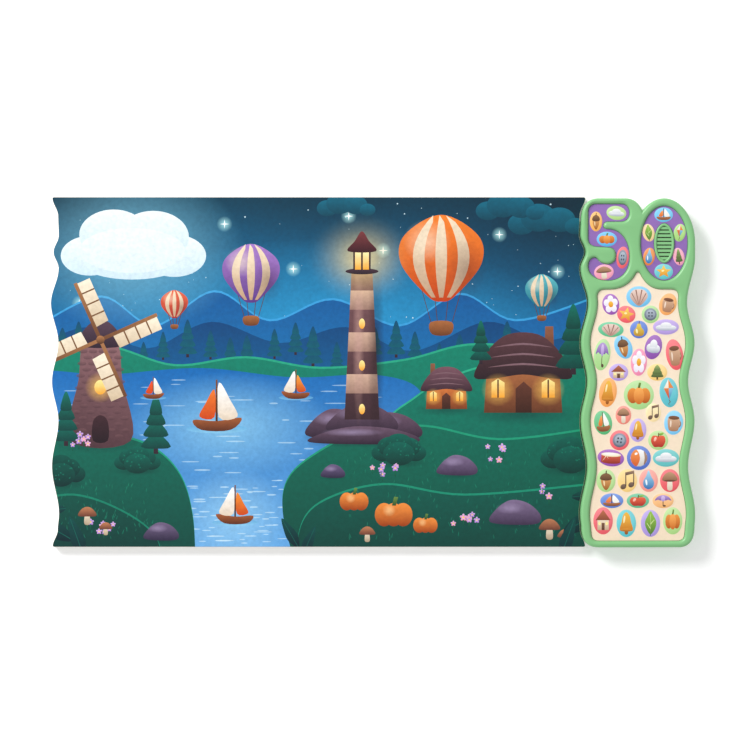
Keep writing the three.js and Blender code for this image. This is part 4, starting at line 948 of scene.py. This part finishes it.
def balloon(art, x, y, r, dark, light, cream="f6e6cc"):
    thing, rope = Thing(art, x, y, r), 0.5 / r
    for u in (-0.26, -0.1, 0.1, 0.26):
        thing.shape([(u, -1.62), (u + rope, -1.62), (2 * u + rope, -.7), (2 * u, -.7)], "6a4634")
    thing.shape(both((.22, -1.92), (.26, -1.62)), "7a4a2c", "b87a4c", 4)
    thing.shape(both((0, -1.12), (.34, -.98), (.98, -.2), (.9, .5), (0, 1)), dark, light, 8)
    for left, right in ((-.78, -.46), (-.16, .16), (.46, .78)):
        foot = (left * .3, -1.02)
        thing.shape([foot] + bezier(foot, (left * 1.5, 0), (left * .25, .99), count=12)
                    + bezier((right * .25, .99), (right * 1.5, 0), (right * .3, -1.02), count=12), "c8a88c", cream)
    thing.glow(-.35, .35, .6, .55, "fff0d8", 0.55)
    thing.glow(.62, -.35, .5, .8, "40202c", 0.4)


def sail_boat(art, x, y, s, sail="f08a3c", flip=1):
    thing = Thing(art, x, y, s, flip)
    thing.oval(0, -.62, 1.1, .16, "9cd4ee", "5aa8d8", 24, 0.6)
    thing.shape([(-.85, -.3), (-.55, -.66), (.5, -.66), (.9, -.22), (0, -.34)], "6a3a26", "b06c42", 4)
    thing.shape([(.08, -.2), (.75, -.18), (.5, .4), (.08, 1.05)], "e8d8c4", "ffffff", 4)
    thing.shape([(-.08, -.2), (-.62, -.18), (-.4, .3), (-.08, .8)], "d4561e", sail, 4)
    thing.shape(both((.04, -.34), (.03, 1.15)), "5c3620", "8a5a38")


def cottage(art, x, y, s, wall, roof, flip=1):
    thing = Thing(art, x, y, s, flip)
    thing.glow(0, -.62, 1.3, .25, "063c40", 0.55)
    thing.shape([(.42, .5), (.62, .5), (.6, 1.12), (.44, 1.12)], "6a4438", "a06c54")
    thing.shape(both((.78, -.6), (.72, .3)), *wall)
    thing.shape(both((0, .16), (.6, .08), (.98, .12), (.72, .62), (.3, .96)), *roof, 5)
    for v in (.3, .5, .7):
        thing.shape(both((0, v + .05), (.8 - .3 * v, v), (0, v + .09)), "8a6a70", "947680", 4)
    thing.shape([(-.15, -.6), (.17, -.6), (.17, -.12), (.01, .02), (-.15, -.12)], "4c2c22", "74483a")
    for u in (-.5, .5):
        thing.glow(u, -.14, .34, .34, "ffd070", 0.7)
        thing.shape([(u - .13, -.3), (u + .13, -.3), (u + .13, .0), (u, .08), (u - .13, .0)], *FLAME)
        thing.shape(block(u - .015, u + .015, -.3, .06), "6a4030")


def windmill(art, x, y, s):
    thing, sails = Thing(art, x, y, s), Thing(art, x, y + .66 * s, s)
    thing.glow(0, -1.02, .9, .2, "063c40", 0.6)
    thing.shape(both((.5, -1), (.36, 0), (.26, .62)), "5c4048", "9a7478", 6, slant=.3)
    for row in range(15):
        v = -.93 + .1 * row
        for u in (-.3, -.1, .1, .3):
            thing.oval((u + .1 * (row % 2) - .05) * (1.25 - .3 * (v + 1)), v, .075, .034, "5e424a", "866468", 10, 0.6)
    thing.shape(both((.36, .56), (.24, .86), (0, 1)), "3c2c3c", "6a5262", 5)
    thing.glow(0, -.12, .26, .26, "ffd070", 0.7)
    thing.oval(0, -.12, .1, .12, *FLAME, 16)
    thing.shape(both((.12, -1), (.12, -.68), (0, -.58)), "30202a", "50343c", 4)
    for turn in (24, 114, 204, 294):
        sails.shape(block(-.03, .03, 0, 1.02), "7a5238", "b4845c", turn=turn)
        sails.shape([(.03, .22), (.25, .24), (.25, 1.0), (.03, 1.0)], "d8c4a8", "fbf0dc", turn=turn)
        for v in (.4, .6, .8):
            sails.shape(block(.03, .25, v, v + .025), "8a6648", turn=turn)
    sails.oval(0, 0, .07, .07, "5a3826", "c08c60")


def rock(art, x, y, w, h, low="4c3c58", high="8e7c9c"):
    thing = Thing(art, x, y, w, tall=h / w)
    thing.glow(0, -.6, 1.25, .4, "063440", 0.5)
    thing.shape([(-1, -.5), (-.8, .3), (-.2, 1), (.5, .8), (1, 0), (.9, -.6), (0, -.7)], low, high, 6)
    thing.glow(-.2, .45, .6, .4, "b8a8c8", 0.6)


def lighthouse(art, x, y, s):
    for u, v, w, h in ((-.3, -.08, .34, .2), (.32, -.1, .36, .18), (0, -.02, .4, .2), (.02, -.2, .62, .12)):
        rock(art, x + u * s, y + v * s, w * s, h * s, "3c2c40", "7c6478")
    thing = Thing(art, x, y, s)
    thing.shape(both((.2, 0), (.12, 1.7)), "4c343c", "8a6468")
    for v in (.3, .78, 1.26):
        thing.shape(both((.2 - .047 * v, v), (.2 - .047 * (v + .22), v + .22)), "a8887c", "d8b8a4")
    thing.glow(-.04, .9, .07, 1.0, "d8b0a8", 0.5, 4)
    thing.glow(.16, .8, .1, 1.2, "24141e", 0.65, 4)
    thing.glow(0, 1.84, .66, .56, "ffe6a0", 0.85, 9, 2.0)
    thing.oval(0, 1.7, .19, .035, "3a2a34", "5c4450", 24)
    thing.shape(block(-.1, .1, 1.72, 1.94), "f8b848", "fff4c0")
    for u in (-.1, -.01, .08):
        thing.shape(block(u, u + .02, 1.72, 1.94), "4a343c")
    thing.shape(both((.16, 1.93), (.08, 2.05), (0, 2.16)), "4a2430", "8a4a4c", 5)
    for v in (.12, .62, 1.1):
        thing.oval(0, v, .035, .06, *FLAME)


def bush(art, x, y, w, h, low="04443f", high="0c7264", leaf="1a9078"):
    thing = Thing(art, x, y, w, tall=h / w)
    thing.glow(0, -.8, 1.15, .35, "042c34", 0.55)
    for u, v, r in ((-.62, -.25, .42), (.62, -.25, .42), (-.32, .12, .5), (.34, .1, .48), (0, .28, .52), (0, -.3, .6)):
        thing.oval(u, v, r, 1.15 * r, low, high, 26)
    for k in range(int(w * 1.1)):
        a, r = dice.random() * 6.28, dice.random() ** .5
        middle = x + r * .85 * w * math.cos(a), y + r * .62 * h * math.sin(a)
        art.area(moved([(-.5, 0), (0, .3), (.5, 0), (0, -.3)], *middle, 1.9, dice.random() * 180), leaf, cover=0.55)


def bloom(art, x, y, r, petal, heart="ffd860"):
    thing = Thing(art, x, y, r)
    thing.shape(both((.12, -2.6), (.1, 0)), "0c5a48", "2c8a5c")
    for turn in range(90, 450, 72):
        a = math.radians(turn)
        thing.oval(.62 * math.cos(a), .62 * math.sin(a), .5, .36, petal, "e0c4f0", 10, tilt=turn)
    thing.oval(0, 0, .28, .28, heart, count=8)


def pine(art, x, y, s, low="06504c", high="128070"):
    thing = Thing(art, x, y, s)
    thing.shape(both((.08, -1), (.05, 0)), "40303c", "5c4650")
    for v, w in ((-.75, .52), (-.35, .44), (.05, .34), (.4, .22)):
        thing.shape(both((0, v - .07), (w, v), (.1, v + .5), (0, v + .66)), low, high, 3)


def ridge(art, points, floor, low, high, light=None, steps=8):
    """A band of land from a soft top line down to a floor line, with an optional lit crest."""
    line = smooth_loop(points, steps, closed=False) + [points[-1]]
    if light:
        art.area(line + [(line[-1][0], floor), (line[0][0], floor)], light)
        line = [(x, y - 1.6) for x, y in line]
    art.area(line + [(line[-1][0], floor), (line[0][0], floor)], low, high)


def sky_and_ground(art, right):
    """Dark sky that grows lighter towards the horizon, over a dark green ground."""
    art.area(block(-260, right, -20, 140), "2a94cc", "03485c")
    art.area(block(-260, right, -150, -20), "0a6c68", "1484a8")


print("things that can be drawn: balloon, boat, cottage, windmill, lighthouse, bush, rock, bloom, pine, ridge")

# %% Sky, hills and lake
art = Drawing()
sky_and_ground(art, 180)
for glow in ((-30, 22, 190, 80, "3fb2e2", 0.75, 8), (-215, 128, 110, 80, "04313f", 0.75, 6),
             (140, 130, 130, 100, "033040", 0.9, 6), (-20, 140, 110, 50, "033a4c", 0.7, 6)):
    art.glow(*glow)
for k in range(95):
    x, y = -240 + 400 * dice.random(), 36 + 92 * dice.random()
    art.area(ellipse(x, y, *[0.25 + 0.5 * dice.random() ** 2] * 2, 0, 6), "bfe4f2", "eafaff", 0.8)
for x, y in ((-112, 112), (-60, 78), (-18, 118), (96, 104), (140, 76), (-222, 52), (8, 92)):
    art.glow(x, y, 6, 6, "bff0f0", 0.8, 4)
    art.area(moved(both((0, 3.4), (.5, .5), (3.4, 0), (.5, -.5), (0, -3.4)), x, y), "ffffff")
ridge(art, [(-250, 38), (-205, 58), (-165, 36), (-120, 62), (-78, 40), (-30, 56), (20, 36), (66, 60), (108, 40),
            (165, 56)], -60, "2f97cf", "1668a4", "49aade")
ridge(art, [(-250, 22), (-214, 34), (-170, 18), (-122, 38), (-70, 22), (-20, 34), (30, 16), (86, 38), (130, 24),
            (165, 34)], -60, "1b86b8", "0c5488")
for k in range(26):
    x = -240 + 16 * k + 6 * dice.random()
    pine(art, x, 18 + 7 * math.sin(k * 1.3), 10 + 5 * dice.random(), "0a6c7c", "0c5a80")
ridge(art, [(-250, 14), (-200, 20), (-150, 6), (-96, 12), (-40, 4), (24, 10), (80, 22), (165, 12)], -60,
      "0c7c70", "149078", "35b090")
lake = smooth_loop([(-262, -4), (-200, -2), (-130, 3), (-60, -4), (0, -2), (34, -12), (34, -36), (-8, -58),
                    (-36, -80), (-44, -104), (-40, -140), (-160, -150), (-150, -104), (-178, -76), (-262, -66)], 9)
art.area(lake, "7ab8ea", "1a78bc")
art.glow(-110, -40, 80, 40, "a4daf4", 0.7, 7)
art.glow(-105, -110, 44, 38, "b4e0f6", 0.6, 6)
for count, left, width, top, depth, length, more, cover in ((70, -236, 250, -6, 62, 3, 7, .4),
                                                            (60, -152, 84, -74, 56, 2, 6, .45)):
    for k in range(count):
        x, y = left + width * dice.random(), top - depth * dice.random()
        glint = ellipse(x, y, length + more * dice.random(), 0.35 + .3 * dice.random(), 0, 10)
        art.area(glint, "d8f2fc", "e8faff", cover)
print("background shapes", len(art.shapes))

# %% Banks, clouds and everything that stands in the picture
for bank in (
        ([(-6, -60), (12, -34), (30, -20), (52, -6), (90, 6), (128, 2), (166, 8)], -150, "056058", "128a74", "3ab894"),
        ([(-56, -150), (-67, -112), (-66, -84), (-48, -64), (-8, -44), (40, -40), (96, -50), (166, -42)],
         -150, "045248", "0c7a66", "28a584"),
        ([(-50, -150), (-56, -122), (-40, -98), (8, -84), (70, -92), (166, -84)], -150, "034640", "0a6a5c", "229a7e"),
        ([(-262, -50), (-232, -45), (-200, -46), (-168, -55), (-146, -76), (-136, -108), (-134, -150)],
         -150, "045048", "0c7866", "2aa888"),
        ([(-262, -98), (-226, -92), (-190, -104), (-164, -124), (-158, -152)], -152, "033c3c", "086054", "1c8c74")):
    ridge(art, *bank)
for k in range(260):
    left = dice.random() < .38
    x = -240 + 74 * dice.random() if left else -20 + 176 * dice.random()
    y = -128 + (44 if left else 70) * dice.random()
    blade = moved([(-.5, 0), (0, 3.2), (.5, 0)], x, y, .7 + .5 * dice.random(), -25 + 50 * dice.random())
    art.area(blade, "0a6e5e", "35b08c", 0.6)
for x, y, s in ((132, 112, .8), (104, 122, .7), (-20, 124, .6)):
    for u, v, r in ((-24, 0, 13), (-8, 6, 17), (12, 4, 15), (27, -2, 10)):
        art.area(ellipse(x + u * s, y + v * s, r * s, .78 * r * s, 0, 30), "0c5468", "1a7890")
art.glow(-182, 92, 86, 62, "8fd0ea", 0.75, 7)
for u, v, r, t in ((-32, -6, 22, 15), (32, -6, 24, 16), (-14, 10, 26, 19), (16, 8, 27, 20), (0, -10, 40, 14)):
    art.area(ellipse(-182 + u, 94 + v, r, t, 0, 44), "d4e8f2", "f0f9fc")
art.area(ellipse(-182, 92, 40, 17, 0, 44), "e4f1f7", "eef7fb")
ORANGE, MAUVE, RED, TEAL = ("c8501c", "f6923c"), ("6a4690", "b48cd0"), ("b03a34", "ec7a58"), ("1f7a8c", "70c4cc")
for x, y, r, paint in ((52, 88, 31, ORANGE), (-92, 76, 21, MAUVE), (-150, 52, 10, RED), (128, 62, 12, TEAL)):
    balloon(art, x, y, r, *paint)
windmill(art, -206, -6, 46)
cottage(art, 114, -8, 38, ("74462f", "b87a50"), ("3a2830", "6c4a50"))
cottage(art, 56, -16, 20, ("8a4c2a", "e08a4c"), ("4c3440", "8a6470"), -1)
for place in ((152, 24, 26), (82, 22, 16), (-164, -40, 22), (-232, -36, 20)):
    pine(art, *place)
sail_boat(art, -118, -30, 21)
sail_boat(art, -58, -12, 12, "f6b04c", -1)
lighthouse(art, -8, -36, 66)
sail_boat(art, -166, -14, 9, "f2683c")
sail_boat(art, -104, -104, 16, "f8a040", -1)
print("shapes so far", len(art.shapes))

# %% Foreground
for place in ((20, -58, 20, 13), (150, -62, 22, 15), (-178, -66, 17, 11), (-236, -74, 18, 13, "033c3c", "0a6458")):
    bush(art, *place)
for place in ((64, -72, 15, 9), (-30, -76, 9, 6, "3c3450", "7c6c90"), (108, -108, 19, 11),
              (-160, -122, 13, 8, "3c3450", "80708f")):
    rock(art, *place)
for place in ((-14, -98, 13), (16, -108, 17), (40, -116, 11)):
    pumpkin = Thing(art, *place)
    for u in (-.42, .42, 0):
        pumpkin.oval(u, 0, .42, .52, "a84c18", "f6a050", 26)
    pumpkin.shape([(-.08, .4), (.1, .4), (.2, .78), (.02, .8)], "3c5a34", "7a9a54")
    pumpkin.glow(-.2, .2, .3, .3, "ffdca8", 0.7, 3)
for k in range(34):
    x, y = dice.choice([(70, -112), (136, -88), (-206, -116), (8, -74), (92, -62), (-222, -52)])
    bloom(art, x + 20 * (dice.random() - .5), y + 12 * (dice.random() - .5), 1.7 + dice.random(),
          dice.choice(["a878cc", "c890d8", "f0a0b4"]))
for place in ((-216, -108, 7), (-202, -118, 5), (134, -118, 8), (146, -124, 6), (-4, -122, 6)):
    mushroom = Thing(art, *place)
    mushroom.shape(both((.3, -1), (.22, 0)), "b8a48c", "f2e6d0", 4)
    mushroom.shape(both((0, -.2), (1, -.1), (.6, .6), (0, .85)), "7a4a3c", "c88c68", 5)
for x, y, turn, s in ((-236, -122, 60, 22), (-222, -130, 20, 20), (-240, -104, 95, 16), (154, -116, -60, 22),
                      (146, -130, -20, 19), (-60, -126, 30, 16), (-50, -132, -24, 15), (158, -94, -85, 15)):
    reed = Thing(art, x, y, s)
    reed.shape(both((0, -.5), (.26, 0), (.2, .55), (0, 1.1)), "02303a", "0a5c58", 5, turn)
    reed.shape(both((.015, -.5), (.01, 1.0)), "1a8070", turn=turn, cover=0.6)
print("shapes in the spread", len(art.shapes))

# %% [markdown]
# ## One sheet over the gutter
# The sheet's outline is the left page joined to the right page, so the ink crosses the gutter
# unbroken.

# %% Printed spread
SHEET_UNDER, SHEET_TOP, SHEET_GRID = PAGE_TOP + 0.01, PAGE_TOP + 0.13, 5.0


def outer_edge(page):
    """A page's outline without its gutter side, started at the end next to the gutter."""
    edge = [p for p in page if abs(p[0] - GUTTER_X) > 0.31]
    start = max(range(len(edge)), key=lambda i: math.dist(edge[i], edge[i - 1]))
    return edge[start:] + edge[:start]


whole_sheet = inset(anticlockwise(outer_edge(RIGHT_PAGE) + outer_edge(LEFT_PAGE)), 0.25)
spread_mesh = printed_skin("printed_spread", [whole_sheet], art, SHEET_UNDER, SHEET_TOP, SHEET_GRID)
spread = shown(spread_mesh, "printed_spread", printed_board, "page_print", None, smooth_below=50)
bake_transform(spread)

# %% [markdown]
# ## Covers
# The two covers are the same 2.2 mm board, printed on the outside only, so their picture lies
# underneath while the book is open. The back cover runs on under the module and has an opening for
# its battery boss. A printed skin grows upwards, so a cover's skin is mirrored in height.

# %% The covers' picture
INK, COVER_EDGE, COVER_GRID = 0.08, 0.2, 8.0


def turned_over(mesh):
    """Mirrors a sheet in height, so that its printed face looks down."""
    skin = bmesh.new()
    skin.from_mesh(mesh)
    bmesh.ops.scale(skin, vec=(1, 1, -1), verts=skin.verts)
    bmesh.ops.reverse_faces(skin, faces=skin.faces)
    skin.to_mesh(mesh)
    skin.free()
    return mesh


cover_art = Drawing()
sky_and_ground(cover_art, 260)
for middle in (GUTTER_X - 100, GUTTER_X + 130):
    cover_art.glow(middle, 14, 150, 90, "3fb2e2", 0.7, 7)
for k in range(150):
    cover_art.area(disc(-245 + 490 * dice.random(), 34 + 94 * dice.random(), .5, 6), "bfe4f2", "eafaff", .8)
for step, height, swing, rate, start, count, *paint in (
        (28, 4, 14, 1.7, 0, 20, "1b86b8", "0c5488", "2f9fcc"), (34, -38, 12, 2.1, 0, 17, "0c5c58", "149078", "35b090"),
        (38, -80, 9, 1.4, 1, 15, "034640", "0c7a66", "229a7e")):
    line = [(-260 + step * k, height + swing * math.sin(rate * k + start)) for k in range(count)]
    ridge(cover_art, line, -150, *paint)
for x, y, r, paint in ((-104, 52, 48, ORANGE), (-46, 4, 17, MAUVE), (-166, -4, 14, TEAL), (90, 46, 22, MAUVE)):
    balloon(cover_art, GUTTER_X + x, y, r, *paint)
for place in ((-190, -76, 24), (-166, -82, 18), (-70, -80, 22), (10, -70, 20), (120, -76, 24)):
    pine(cover_art, *place)
for x in (-120, 60):
    bush(cover_art, x, -112, 24, 15)
print("shapes on the covers", len(cover_art.shapes))

# %% Front cover
front_board = as_mesh([die_cut(LEFT_PAGE, [], INK, BOARD, 0.35)], "front_board")
shown(front_board, "front_board", cut_board, "cover_print", "front_half", "front_cover")
front_skin = printed_skin("front_print", [inset(LEFT_PAGE, COVER_EDGE)], cover_art, -INK, 0.0, COVER_GRID)
shown(turned_over(front_skin), "front_print", printed_board, "cover_print", "front_half")

# %% Back cover, joined from the page's board, the module's board and a strip that bridges them
module_board = inset(MODULE, 0.6)
bridge = block(GUTTER_X + PAGE_WIDTH - 8.4, GUTTER_X + PAGE_WIDTH + 4.6, 8.5 - HALF_HEIGHT, MODULE_TOP - CORNER_HEIGHT)
opening = rounded_box(MODULE_X, BOSS_Y, BOSS_SIZE + 0.6, BOSS_SIZE + 0.6)
back_board = as_mesh([die_cut(RIGHT_PAGE, [], INK, BOARD)], "back_board")
for addition in (module_board, bridge):
    back_board = carved(back_board, [die_cut(addition, [], INK, BOARD)], "UNION")
back_board = carved(back_board, [die_cut(opening, [], -1, BOARD + 0.8)])
shown(back_board, "back_board", cut_board, "cover_print", "module_half", "back_cover")
back_skin = printed_skin("back_print", [inset(RIGHT_PAGE, COVER_EDGE), inset(module_board, COVER_EDGE), bridge],
                         cover_art, -INK, 0.0, COVER_GRID, openings=[opening])
shown(turned_over(back_skin), "back_print", printed_board, "cover_print", "module_half")

# %% [markdown]
# ## What stays as the CAD model has it
# Screws, cells, contacts, the circuit and the speaker have the right shape already. They keep their
# meshes, and each gets the finish of its real material in its own material slot.

# %% Finishes of the inner pieces
FINISHES = {
    contact_sheet: ["key_membrane_five", "key_membrane_zero", "key_membrane_main"],
    circuit_resist: ["circuit_board"],
    black_abs: ["switch_knob", "sound_chip"],
    blue_sleeve: ["capacitor"],
    plated_steel: ["button_cell_1", "button_cell_2", "button_cell_3", "contact_plus", "contact_minus",
                   "contact_bridge_upper", "contact_bridge_lower", "switch_body", "speaker_frame"],
    dark_steel: ["door_screw", "board_screw_1", "board_screw_2", "speaker_magnet"]
    + [f"housing_screw_{i}" for i in range(1, 9)],
    cone_pulp: ["speaker_cone"],
    red_pvc: ["battery_wire_plus", "speaker_wire_plus"],
    black_pvc: ["battery_wire_minus", "speaker_wire_minus"],
}
for material, names in FINISHES.items():
    for name in names:
        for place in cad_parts[name].material_slots:
            place.material = material
print("finished CAD pieces", sum(len(names) for names in FINISHES.values()))
